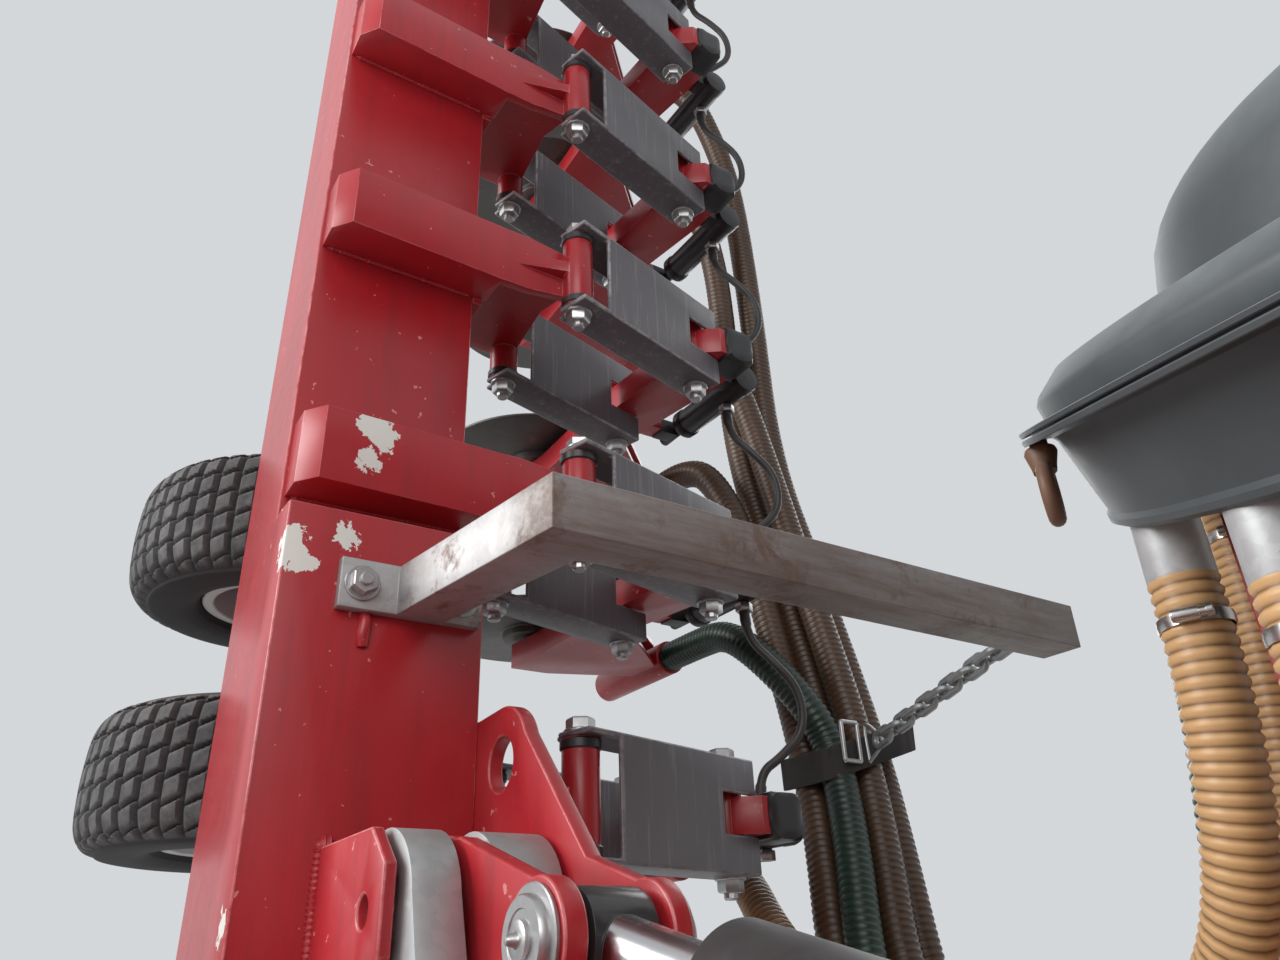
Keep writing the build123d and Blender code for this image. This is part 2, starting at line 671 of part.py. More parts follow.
frame = None
for side in (-1, 1):
    rail_x = side * RAIL_X
    pieces = [
        block(rail_x - RAIL / 2, rail_x + RAIL / 2, FRONT_Y, REAR_LEG_Y - LEG / 2 - LEG_WALL - LEG_CLEAR,
              RAIL_Z, RAIL_Z + RAIL),
        block(rail_x - RAIL / 2, rail_x + RAIL / 2, -50, 50, RAIL_Z + RAIL, BOOM_TOP - BOOM_HEIGHT),
        plate_yz([(DIST_Y - POST / 2, RAIL_Z + RAIL), (DIST_Y + POST / 2, RAIL_Z + RAIL),
                  (DIST_Y + POST / 2, casing_floor(DIST_Y + POST / 2)),
                  (DIST_Y - POST / 2, casing_floor(DIST_Y - POST / 2))],
                 side * POST_X - POST / 2, side * POST_X + POST / 2),
    ]
    for piece in pieces:
        frame = piece if frame is None else frame + piece
frame += block(-PLATE_X, PLATE_X, FRONT_Y - CROSS / 2, FRONT_Y + CROSS / 2, RAIL_Z, RAIL_Z + CROSS)
keep("lower_frame", frame)

headstock = block(-PLATE_X, PLATE_X, FRONT_Y - 40, FRONT_Y + 40, BOOM_TOP - 120, BOOM_TOP - 40)
for side in (-1, 1):
    x0, x1 = sorted((side * PLATE_X, side * (PLATE_X + PLATE_T)))
    outline = [
        (FRONT_Y - 110, LOW_LINK_Z - 60),
        (FRONT_Y + 60, LOW_LINK_Z - 80),
        (FRONT_Y + 60, BOOM_TOP - 20),
        (FRONT_Y - 50, BOOM_TOP - 20),
        (FRONT_Y - 110, LOW_LINK_Z + 60),
    ]
    headstock += plate_yz(outline, x0, x1)
    p0, p1 = sorted((side * (PLATE_X + PLATE_T), side * (PLATE_X + PLATE_T + LOW_LINK_L)))
    headstock += rod_x(LOW_LINK_D, p0, p1, FRONT_Y - 70, LOW_LINK_Z)
    headstock += block(side * RAIL_X - 40, side * RAIL_X + 40, FRONT_Y + 40, -HALF_D, BOOM_TOP - 130, BOOM_TOP - 30)
    m0, m1 = sorted((side * MAST_X, side * (MAST_X + MAST_T)))
    mast = [
        (FRONT_Y - 60, BOOM_TOP - 120),
        (FRONT_Y + 70, BOOM_TOP - 120),
        (FRONT_Y + 60, BOOM_TOP - 40),
        (FRONT_Y + 10, TOP_LINK_Z + 30),
        (FRONT_Y - 30, TOP_LINK_Z + 30),
        (FRONT_Y - 60, BOOM_TOP - 40),
    ]
    headstock += plate_yz(mast, m0, m1) - rod_x(TOP_LINK_D, m0 - 1, m1 + 1, FRONT_Y - 10, TOP_LINK_Z)
keep("headstock", headstock)

casing = [
    (0.0, -CASING_DROP),
    (CASING_LOW_R - 10, -CASING_DROP),
    (CASING_LOW_R, -CASING_DROP + 10),
    (CASING_R, 0.0),
    (RIM_PLATE_R, 0.0),
    (RIM_PLATE_R, RIM_PLATE_T),
    (0.0, RIM_PLATE_T),
]
housing = lean(revolve(make_face(Polyline(*[(r, 0, z) for r, z in casing], close=True)), Axis.Z))
for k in range(OUTLETS):
    x, y, z = outlet_top(k)
    housing += rod_z(OUTLET_D, z - OUTLET_L, z + 20, x, y)
keep("distributor_housing", housing)

lid_top = RIM_PLATE_T + LID_H
lid = [
    (0.0, RIM_PLATE_T),
    (LID_R, RIM_PLATE_T),
    (LID_R, RIM_PLATE_T + LID_H * 0.4),
    (LID_R - 30, lid_top),
    (DOME_R, lid_top),
    (DOME_R * 0.75, lid_top + DOME_H * 0.7),
    (DOME_R * 0.4, lid_top + DOME_H),
    (0.0, lid_top + DOME_H),
]
keep("distributor_lid", lean(revolve(make_face(Polyline(*[(r, 0, z) for r, z in lid], close=True)), Axis.Z)))
motor_low = lid_top + DOME_H
motor = rod_z(MOTOR_D, motor_low, motor_low + MOTOR_H * 0.7, 0, 0)
motor += block(-45, 45, -45, 45, motor_low + MOTOR_H * 0.7, motor_low + MOTOR_H)
keep("distributor_motor", lean(motor))

feed_path = FilletPolyline(
    (0, -INLET_REACH + FLANGE_T, FEED_Z), (0, DIST_Y, FEED_Z), (0, DIST_Y, DIST_Z), radius=FEED_BEND
)
feed_start = Plane(origin=(0, -INLET_REACH + FLANGE_T, FEED_Z), z_dir=(0, 1, 0))
feed = sweep(feed_start * Circle(FEED_D / 2), path=feed_path)
feed -= lean(block(-FEED_D, FEED_D, -FEED_D, FEED_D, -CASING_DROP, CASING_DROP + FEED_D))
feed -= rod_y(FEED_BORE_D, -INLET_REACH, -INLET_REACH + 120, 0, FEED_Z)
flange = rod_y(FLANGE_D, -INLET_REACH, -INLET_REACH + FLANGE_T, 0, FEED_Z)
flange -= rod_y(FEED_BORE_D, -INLET_REACH - 1, -INLET_REACH + FLANGE_T + 1, 0, FEED_Z)
keep("feed_pipe", feed + flange)

# Stands


def leg(x, y):
    """A square parking leg with its foot plate."""
    half = LEG / 2
    body = block(x - half, x + half, y - half, y + half, 12, LEG_TOP)
    return body + block(x - FOOT_PLATE / 2, x + FOOT_PLATE / 2, y - FOOT_PLATE / 2, y + FOOT_PLATE / 2, 0, 12)


def leg_sleeve(x, y, low):
    """The square tube that a leg slides in, from a height up."""
    inner = LEG / 2 + LEG_CLEAR
    outer = inner + LEG_WALL
    body = block(x - outer, x + outer, y - outer, y + outer, low, SLEEVE_TOP)
    return body - block(x - inner, x + inner, y - inner, y + inner, low - 1, SLEEVE_TOP + 1)


sleeve_half = LEG / 2 + LEG_CLEAR + LEG_WALL
front_sleeve = leg_sleeve(FRONT_LEG_X, FRONT_LEG_Y, SLEEVE_LOW)
front_sleeve += block(
    RAIL_X + 40, FRONT_LEG_X - sleeve_half, FRONT_LEG_Y - 30, FRONT_LEG_Y + 30, BOOM_TOP - 120, BOOM_TOP - 60
)
rear_sleeve = leg_sleeve(RAIL_X, REAR_LEG_Y, RAIL_Z - 10)
keep_both("leg_sleeves", solids_of([front_sleeve, rear_sleeve]))
keep_pair("front_stand", leg(FRONT_LEG_X, FRONT_LEG_Y))
keep_pair("rear_stand", leg(RAIL_X, REAR_LEG_Y))

# Slurry hoses of the right side, after each has left its outlet straight down, before
# the shift. The first six go to the wing's coulters, lowest first, the last two to the
# centre's.

WING_ROUTES = [
    [(368, 458, 945), (462, 516, 902), (610, 562, 866), (780, 588, 862), (915, 584, 915),
     (1030, 600, 995), (1125, 640, 1070), (1225, 670, 1115), (1325, 670, 1115)],
    [(437, 575, 905), (530, 600, 815), (650, 612, 765), (790, 622, 775), (885, 636, 850),
     (932, 660, 960), (972, 704, 1100), (1016, 734, 1235), (1032, 700, 1310), (1085, 665, 1390),
     (1150, 660, 1440), (1225, 670, 1451), (1325, 670, 1451)],
    [(430, 690, 890), (530, 700, 795), (660, 700, 735), (810, 692, 745), (925, 676, 820),
     (987, 664, 950), (1029, 704, 1100), (1074, 732, 1250), (1124, 732, 1450), (1146, 722, 1590),
     (1170, 690, 1715), (1225, 670, 1787), (1325, 670, 1787)],
    [(372, 850, 870), (470, 830, 760), (610, 800, 700), (760, 768, 705), (870, 738, 790),
     (930, 720, 940), (972, 761, 1100), (1016, 789, 1250), (1092, 785, 1550), (1145, 772, 1800),
     (1158, 745, 1930), (1172, 700, 2045), (1225, 670, 2123), (1325, 670, 2123)],
    [(265, 945, 850), (370, 920, 735), (510, 880, 665), (670, 842, 645), (820, 800, 690),
     (932, 755, 795), (987, 724, 950), (1028, 761, 1100), (1073, 789, 1250), (1148, 785, 1550),
     (1212, 770, 1824), (1212, 765, 2140), (1195, 742, 2270), (1182, 700, 2380), (1225, 670, 2459),
     (1325, 670, 2459)],
    [(120, 1000, 850), (215, 962, 735), (345, 925, 645), (495, 893, 592), (655, 872, 572),
     (815, 848, 600), (925, 828, 720), (958, 798, 930), (1000, 822, 1100), (1044, 846, 1250),
     (1120, 842, 1550), (1186, 826, 1824), (1186, 822, 2160), (1188, 806, 2480), (1180, 762, 2610),
     (1178, 705, 2717), (1225, 670, 2795), (1325, 670, 2795)],
]
CENTRE_ROUTES = [
    [(84, 300, 930), (97, 380, 885), (115, 480, 865), (135, 590, 830), (158, 655, 735),
     (168, 670, 600), (168, 670, 400)],
    [(245, 375, 940), (300, 445, 865), (375, 540, 815), (445, 615, 735), (490, 660, 630),
     (504, 670, 520), (504, 670, 400)],
]
WING_OUTLETS = range(2, 8)
CENTRE_OUTLETS = range(2)
HOSE_DROP = 110.0


def whole_route(outlet, route):
    """A route from its outlet's mouth on: straight down, then through the route's points."""
    x, y, z = outlet_top(outlet)
    mouth = z - OUTLET_L
    return [(x, y, mouth), (x, y, mouth - HOSE_DROP)] + route


def tube(points, diameter):
    """A hose of straight runs and tangent arcs, each arc as large as its runs allow."""
    places = [Vector(*p) for p in points]
    radii = []
    for a, b, c in zip(places, places[1:], places[2:]):
        turn = (b - a).get_angle(c - b)
        shorter = min((b - a).length, (c - b).length)
        radii.append(0.45 * shorter / tan(radians(turn / 2)))
    path = FilletPolyline(*places, radius=radii)
    start = Plane(origin=places[0], z_dir=places[1] - places[0])
    body = sweep(start * Circle(diameter / 2), path=path)
    return body


wing_tubes = [tube(whole_route(k, route), HOSE_D) for k, route in zip(WING_OUTLETS, WING_ROUTES)]
centre_tubes = [tube(whole_route(k, route), HOSE_D) for k, route in zip(CENTRE_OUTLETS, CENTRE_ROUTES)]
keep_pair("wing_hoses", solids_of(wing_tubes))

# Thin oil hoses, each from one press cylinder's port down to the next, in the section frame:
# S below the upper unit, Y behind the cylinders' axes and Z above the ports
OIL_ROUTE = [(36, 0, 0), (74, 0, 0), (112, 26, 22), (150, 58, 34), (205, 64, 30), (242, 30, 16), (264, 0, 0),
             (300, 0, 0)]
oil_hoses = [
    tube([(s - ds, PRESS_Y + dy, PORT_Z + dz) for ds, dy, dz in OIL_ROUTE], OIL_HOSE_D)
    for s in WING_S[1:]
]
keep_pair("oil_hoses", to_wing(solids_of(oil_hoses)))
keep_both("centre_hoses", solids_of(centre_tubes))

os.makedirs("parts", exist_ok=True)
for name, shape in parts.items():
    export_step(shape, "parts/" + name + ".step")
print(len(parts), "nodes")
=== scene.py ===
import json
import logging
from dataclasses import dataclass
from enum import Enum
from math import cos, pi, radians, sin
from typing import Callable, Sequence

import bmesh
import bpy
import numpy as np
from mathutils import Matrix, Vector


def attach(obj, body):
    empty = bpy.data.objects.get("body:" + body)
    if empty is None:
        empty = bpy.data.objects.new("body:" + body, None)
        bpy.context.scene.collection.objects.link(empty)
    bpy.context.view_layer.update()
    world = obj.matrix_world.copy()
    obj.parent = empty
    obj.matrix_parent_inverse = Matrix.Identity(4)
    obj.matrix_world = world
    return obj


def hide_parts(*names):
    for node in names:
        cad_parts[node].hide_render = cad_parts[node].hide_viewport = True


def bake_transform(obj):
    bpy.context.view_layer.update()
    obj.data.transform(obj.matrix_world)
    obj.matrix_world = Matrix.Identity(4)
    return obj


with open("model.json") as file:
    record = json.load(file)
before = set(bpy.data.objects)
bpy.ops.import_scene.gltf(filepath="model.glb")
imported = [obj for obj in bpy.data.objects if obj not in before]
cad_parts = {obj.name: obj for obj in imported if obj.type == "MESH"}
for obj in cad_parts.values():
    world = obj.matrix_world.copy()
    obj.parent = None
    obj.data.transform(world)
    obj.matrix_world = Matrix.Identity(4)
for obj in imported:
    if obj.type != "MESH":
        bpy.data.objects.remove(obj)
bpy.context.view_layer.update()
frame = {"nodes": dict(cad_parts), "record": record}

LOG = logging.getLogger("injector")

# The machine's main places, in metres, as its source gives them
SHIFT_Y = -0.240
BOOM_TOP_X = 0.925
PIN_Z = 1.000
UNIT_PITCH = 0.336
FIRST_UNIT = 0.115
WING_UNITS = [FIRST_UNIT + UNIT_PITCH * k for k in range(6)]
CENTRE_UNITS = [UNIT_PITCH * (k - 1.5) for k in range(4)]
BOOM_TOP_Z = 0.800

# The distributor leans forward, and its outlets point straight down
DIST_AT = np.array([0.0, 0.576 + SHIFT_Y, 1.448])
DIST_LEAN = radians(30.0)
CASING_DROP = 0.090
OUTLETS = 16
OUTLET_R = 0.388
OUTLET_L = 0.060


class Side(Enum):
    """The two sides of the machine."""

    RIGHT = 1
    LEFT = -1

    @property
    def tag(self) -> str:
        """The ending of this side's names."""
        return self.name.lower()


class Place(Enum):
    """Where a section frame sits: on the centre boom or on a folded wing."""

    CENTRE = "centre"
    WING = "wing"


# Number arrays


def in_section(points: np.ndarray, place: Place, side: Side = Side.RIGHT) -> np.ndarray:
    """Carries points from a boom section's frame to the machine's.

    On the centre (s, y, n) becomes (s, y + shift, boom top + n). On a wing, folded
    upright, it becomes (side * (boom top X - n), y + shift, pin Z + s).

    Args:
        points: Rows of s along the boom, y rearward and n up from the boom's top.
        place: The kind of section.
        side: The wing's side.

    Returns:
        The points in the machine's frame.
    """
    p = np.asarray(points, dtype=float)
    s, y, n = p[..., 0], p[..., 1], p[..., 2]
    if place is Place.CENTRE:
        return np.stack([s, y + SHIFT_Y, BOOM_TOP_Z + n], axis=-1)
    return np.stack([side.value * (BOOM_TOP_X - n), y + SHIFT_Y, PIN_Z + s], axis=-1)


def leaning(points: np.ndarray) -> np.ndarray:
    """Carries points from the distributor's frame, Z along its axis from the rim plate, to the machine's.

    With lean e, (x, y, z) becomes (x, y cos e - z sin e, y sin e + z cos e) plus the distributor's place.

    Args:
        points: Rows of points in the distributor's frame.

    Returns:
        The points in the machine's frame.
    """
    p = np.asarray(points, dtype=float)
    c, s = cos(DIST_LEAN), sin(DIST_LEAN)
    turned = [p[..., 0], p[..., 1] * c - p[..., 2] * s, p[..., 1] * s + p[..., 2] * c]
    return np.stack(turned, axis=-1) + DIST_AT


def outlet_mouth(index: int) -> np.ndarray:
    """The middle of an outlet's open end, on the right side.

    Args:
        index: The outlet's number, from the front.

    Returns:
        The point, straight below the outlet's place under the casing.
    """
    a = (index + 0.5) * 2 * pi / OUTLETS
    top = leaning(np.array([OUTLET_R * sin(a), -OUTLET_R * cos(a), -CASING_DROP]))
    return top - np.array([0, 0, OUTLET_L])


def smooth_step(low: float, high: float, x: np.ndarray) -> np.ndarray:
    """Zero below low, one above high, 3t^2 - 2t^3 between."""
    t = np.clip((x - low) / (high - low), 0.0, 1.0)
    return t * t * (3.0 - 2.0 * t)


def wavy(x: np.ndarray, seed: int, terms: int = 5) -> np.ndarray:
    """A repeatable irregular wave: half the sum of sin(x (1 + 0.83 k) + phase k) / (1 + k).

    Args:
        x: Where the wave is wanted.
        seed: What the phases are drawn from.
        terms: How many sines.

    Returns:
        The wave's values.
    """
    rng = np.random.default_rng(seed)
    total = np.zeros_like(x)
    for k in range(terms):
        total += np.sin(x * (1.0 + k * 0.83) + rng.uniform(0, 2 * pi)) / (1.0 + k)
    return total / 2.0


def frames_along(path: np.ndarray) -> tuple[np.ndarray, np.ndarray, np.ndarray]:
    """Tangents and two normals along a path, turned as little as possible from step to step.

    Args:
        path: Rows of points.

    Returns:
        Unit tangents, first normals and second normals, one row for each point.
    """
    tangent = np.gradient(path, axis=0)
    tangent /= np.linalg.norm(tangent, axis=1, keepdims=True)
    first = np.zeros_like(path)
    guess = np.array([0.0, 0.0, 1.0]) if abs(tangent[0, 2]) < 0.9 else np.array([1.0, 0.0, 0.0])
    for i, t in enumerate(tangent):
        guess = guess - t * guess.dot(t)
        guess /= np.linalg.norm(guess)
        first[i] = guess
    return tangent, first, np.cross(tangent, first)


def even_path(points: np.ndarray, step: float) -> tuple[np.ndarray, np.ndarray]:
    """Points at equal steps along a polyline.

    Args:
        points: The polyline's rows.
        step: The wished distance between new points.

    Returns:
        The new points and their distance along the line.
    """
    away = np.concatenate([[0.0], np.cumsum(np.linalg.norm(np.diff(points, axis=0), axis=1))])
    count = max(2, int(round(away[-1] / step)) + 1)
    along = np.linspace(0.0, away[-1], count)
    return np.stack([np.interp(along, away, points[:, k]) for k in range(3)], axis=1), along


class Batch:
    """Gathers surfaces, as arrays, that become one mesh object."""

    def __init__(self) -> None:
        """Starts empty."""
        self.points: list[np.ndarray] = []
        self.faces: list[np.ndarray] = []
        self.edge: list[np.ndarray] = []
        self.along: list[np.ndarray] = []
        self.count = 0

    def add(self, points: np.ndarray, faces: np.ndarray, edge: np.ndarray | float = 0.0,
            along: np.ndarray | None = None) -> None:
        """Adds one surface.

        Args:
            points: Rows of points.
            faces: Rows of point numbers, three or four to a face.
            edge: How worn this surface is, 0 to 1, as one number or one for each point; on a hose it marks
                the valleys, which its finish darkens as painted shade.
            along: A number for each point that a pattern follows.
        """
        flat = np.asarray(points, dtype=float).reshape(-1, 3)
        self.points.append(flat)
        self.faces.append(np.asarray(faces) + self.count)
        self.edge.append(np.broadcast_to(np.asarray(edge, dtype=float), (len(flat),)))
        self.along.append(np.zeros(len(flat)) if along is None else np.asarray(along, dtype=float))
        self.count += len(flat)

    def put_in_section(self, name: str, finish: "Finish", body: str, place: Place, side: Side,
                       smooth: float = 35.0) -> bpy.types.Object:
        """Makes the piece of a batch in a section's frame; the left wing's mirror turns its faces over.

        Args:
            name: The piece's name.
            finish: Its finish.
            body: The CAD body it rides on.
            place: The kind of section.
            side: The wing's side.
            smooth: The angle in degrees up to which its faces shade as one.

        Returns:
            The new object.
        """
        self.points = [in_section(p, place, side) for p in self.points]
        if place is Place.WING and side is Side.LEFT:
            self.faces = [f[:, ::-1] for f in self.faces]
        return self.put(name, finish, body, smooth)

    def put(self, name: str, finish: "Finish", body: str | None, smooth: float = 35.0) -> bpy.types.Object:
        """Makes the mesh object, in its finish and on its body.

        Args:
            name: The piece's name.
            finish: Its finish.
            body: The CAD body it rides on, or None, where it rides on no body.
            smooth: The angle in degrees up to which its faces shade as one.

        Returns:
            The new object.
        """
        mesh = bpy.data.meshes.new(name)
        faces = [row for block in self.faces for row in block.tolist()]
        mesh.from_pydata(np.concatenate(self.points).tolist(), [], faces)
        for label, values in (("edge", self.edge), ("along", self.along)):
            layer = mesh.attributes.new(label, "FLOAT", "POINT")
            layer.data.foreach_set("value", np.concatenate(values).astype(np.float32))
        mesh.update()
        mesh.shade_smooth()
        mesh.set_sharp_from_angle(angle=radians(smooth))
        return install(bpy.data.objects.new(name, mesh), finish, body)


def install(piece: bpy.types.Object, finish: "Finish", body: str | None) -> bpy.types.Object:
    """Links a piece to the scene, dresses it and lets it ride on its body.

    Args:
        piece: The new object.
        finish: Its finish.
        body: The CAD body it rides on, or None, where it rides on no body.

    Returns:
        The same object.
    """
    if piece.name not in bpy.context.scene.collection.objects:
        bpy.context.scene.collection.objects.link(piece)
    piece.data.materials.clear()
    piece.data.materials.append(finish.material())
    if body is not None:
        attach(piece, body)
    LOG.info("piece %s", piece.name)
    return piece


def grid(rows: int, columns: int, loop: bool = False) -> np.ndarray:
    """Faces of a grid of points, closed round the columns and, if asked, the rows.

    Args:
        rows: Rows of points.
        columns: Points in a row.
        loop: Whether the last row joins the first.

    Returns:
        Rows of four point numbers.
    """
    i = np.arange(rows if loop else rows - 1)[:, None]
    j = np.arange(columns)[None, :]
    k = (j + 1) % columns
    m = (i + 1) % rows
    corners = [i * columns + j, i * columns + k, m * columns + k, m * columns + j]
    return np.stack(corners, axis=-1).reshape(-1, 4)


def rounded(points: Sequence[Sequence[float]], steps: int) -> np.ndarray:
    """A Catmull-Rom curve: 2p = 2b + (c - a)t + (2a - 5b + 4c - d)t^2 + (3b - a - 3c + d)t^3.

    Args:
        points: The points that it goes through.
        steps: New points for each stretch.

    Returns:
        Rows of points along the curve.
    """
    p = np.asarray(points, dtype=float)
    p = np.concatenate([[2 * p[0] - p[1]], p, [2 * p[-1] - p[-2]]])
    t = np.linspace(0.0, 1.0, steps, endpoint=False)[:, None]
    rows = [0.5 * (2 * b + (c - a) * t + (2 * a - 5 * b + 4 * c - d) * t**2 + (3 * b - a - 3 * c + d) * t**3)
            for a, b, c, d in zip(p, p[1:], p[2:], p[3:])]
    return np.concatenate(rows + [p[-2:-1]])


def add_tube(batch: Batch, path: np.ndarray, radius: np.ndarray | float, sides: int = 12,
             along: np.ndarray | None = None, edge: np.ndarray | None = None) -> None:
    """Adds a round tube: each ring is path + r (first cos a + second sin a), ends closed.

    Args:
        batch: Where it goes.
        path: Rows of points.
        radius: One radius, or one for each point.
        sides: Points round the tube.
        along: A number for each path point that a pattern follows.
        edge: How worn each path point is; on a hose, how deep it lies in a valley, which its finish darkens
            as painted shade.
    """
    _, first, second = frames_along(path)
    a = np.linspace(0, 2 * pi, sides, endpoint=False)
    r = np.broadcast_to(np.asarray(radius, dtype=float), (len(path),))[:, None, None]
    ring = first[:, None, :] * np.cos(a)[None, :, None] + second[:, None, :] * np.sin(a)[None, :, None]
    rings = path[:, None, :] + r * ring
    value = np.zeros(len(path)) if along is None else along
    worn = np.zeros(len(path)) if edge is None else edge
    points = np.concatenate([rings.reshape(-1, 3), path[:1], path[-1:]])
    last = (len(path) - 1) * sides
    j = np.arange(sides)
    k = (j + 1) % sides
    low = np.stack([k, j, np.full(sides, len(path) * sides)], axis=1)
    high = np.stack([last + j, last + k, np.full(sides, len(path) * sides + 1)], axis=1)
    start = batch.count
    batch.add(points, grid(len(path), sides), np.concatenate([np.repeat(worn, sides), worn[[0, -1]]]),
              np.concatenate([np.repeat(value, sides), value[[0, -1]]]))
    batch.faces.extend([low + start, high + start])


def axis_frame(direction: Sequence[float]) -> np.ndarray:
    """A frame round an axis: up x d, d x (up x d) and d itself, all of length 1.

    Args:
        direction: The axis.

    Returns:
        A 3 by 3 matrix whose columns are the frame, with the axis last.
    """
    d = np.asarray(direction, dtype=float)
    d = d / np.linalg.norm(d)
    up = np.array([0.0, 0.0, 1.0]) if abs(d[2]) < 0.9 else np.array([1.0, 0.0, 0.0])
    a = np.cross(up, d)
    a /= np.linalg.norm(a)
    return np.stack([a, np.cross(d, a), d], axis=1)


def add_turned(batch: Batch, profile: Sequence[tuple[float, float]], centre: Sequence[float],
               direction: Sequence[float], sides: int = 24,
               corner: Callable[[np.ndarray], np.ndarray] | None = None) -> None:
    """Adds a turned shape: profile rows (r, h) go round an axis, r may vary with the angle.

    Args:
        batch: Where it goes.
        profile: Radius and height along the axis, from the low end to the high end.
        centre: The axis's zero point.
        direction: The axis.
        sides: Points round the axis.
        corner: A factor on the radius for each angle, such as a hexagon's.
    """
    rows = np.asarray(profile, dtype=float)
    a = np.linspace(0, 2 * pi, sides, endpoint=False)
    factor = np.ones(sides) if corner is None else corner(a)
    base = axis_frame(direction)
    r = rows[:, 0][:, None] * factor[None, :]
    local = np.stack([r * np.cos(a), r * np.sin(a), np.broadcast_to(rows[:, 1][:, None], r.shape)], axis=-1)
    batch.add(local @ base.T + np.asarray(centre, dtype=float), grid(len(rows), sides))


def hexagon(a: np.ndarray) -> np.ndarray:
    """The factor that turns a circle into the hexagon round it: 1 / cos of the angle from a flat's middle."""
    off = (a + pi / 6) % (pi / 3) - pi / 6
    return 1.0 / np.cos(off)


def add_bolt(batch: Batch, centre: Sequence[float], direction: Sequence[float], across: float = 0.024,
             washer: float = 0.017, height: float = 0.010, sides: int = 24) -> None:
    """Adds a washer and a hexagon head with its chamfer, standing on a face.

    Args:
        batch: Where it goes.
        centre: The point on the face.
        direction: Away from the face.
        across: The head's width across its flats.
        washer: The washer's radius.
        height: The head's height.
        sides: Points round it.
    """
    w = 0.003
    add_turned(batch, [(0.0, 0.0), (washer, 0.0), (washer, w * 0.7), (washer - 0.0008, w), (0.0, w)], centre,
               direction, sides)
    half = across / 2
    head = [(0.0, w), (half, w), (half, w + height * 0.84), (half * 0.90, w + height), (0.0, w + height)]
    add_turned(batch, head, centre, direction, sides, corner=hexagon)


def add_cushioned(batch: Batch, centre: Sequence[float], half: Sequence[float], power: float = 9.0,
                  rows: int = 20, columns: int = 32) -> None:
    """Adds a box with softly rounded edges and barely bulging faces: the unit sphere's points, pushed out
    until |x|^p + |y|^p + |z|^p = 1, and scaled to the box's half sizes.

    Args:
        batch: Where it goes.
        centre: Its middle.
        half: Half its size along each axis.
        power: How square it is.
        rows: Points from pole to pole.
        columns: Points round it.
    """
    b = np.linspace(-pi / 2, pi / 2, rows)[:, None]
    a = np.linspace(0, 2 * pi, columns, endpoint=False)[None, :]
    ball = np.stack([np.cos(b) * np.cos(a), np.cos(b) * np.sin(a), np.sin(b) + 0 * a], axis=-1)
    grown = ball / np.sum(np.abs(ball) ** power, axis=-1, keepdims=True) ** (1.0 / power)
    batch.add(grown * np.asarray(half) + np.asarray(centre), grid(rows, columns))


def add_bead(batch: Batch, path: np.ndarray, radius: float = 0.006, seed: int = 1) -> None:
    """Adds a weld bead: a tube whose radius ripples as 1 + 0.16 sin(2 pi s / 5 mm), with slow waves.

    Args:
        batch: Where it goes.
        path: The seam's points.
        radius: The bead's middle radius.
        seed: What its slow waves are drawn from.
    """
    line, along = even_path(np.asarray(path, dtype=float), 0.0017)
    ripple = 1.0 + 0.16 * np.sin(along * 2 * pi / 0.005) + 0.14 * wavy(along * 60.0, seed)
    ends = smooth_step(0.0, 0.006, along) * smooth_step(0.0, 0.006, along[-1] - along)
    add_tube(batch, line, radius * ripple * (0.4 + 0.6 * ends), 8)


# Finishes


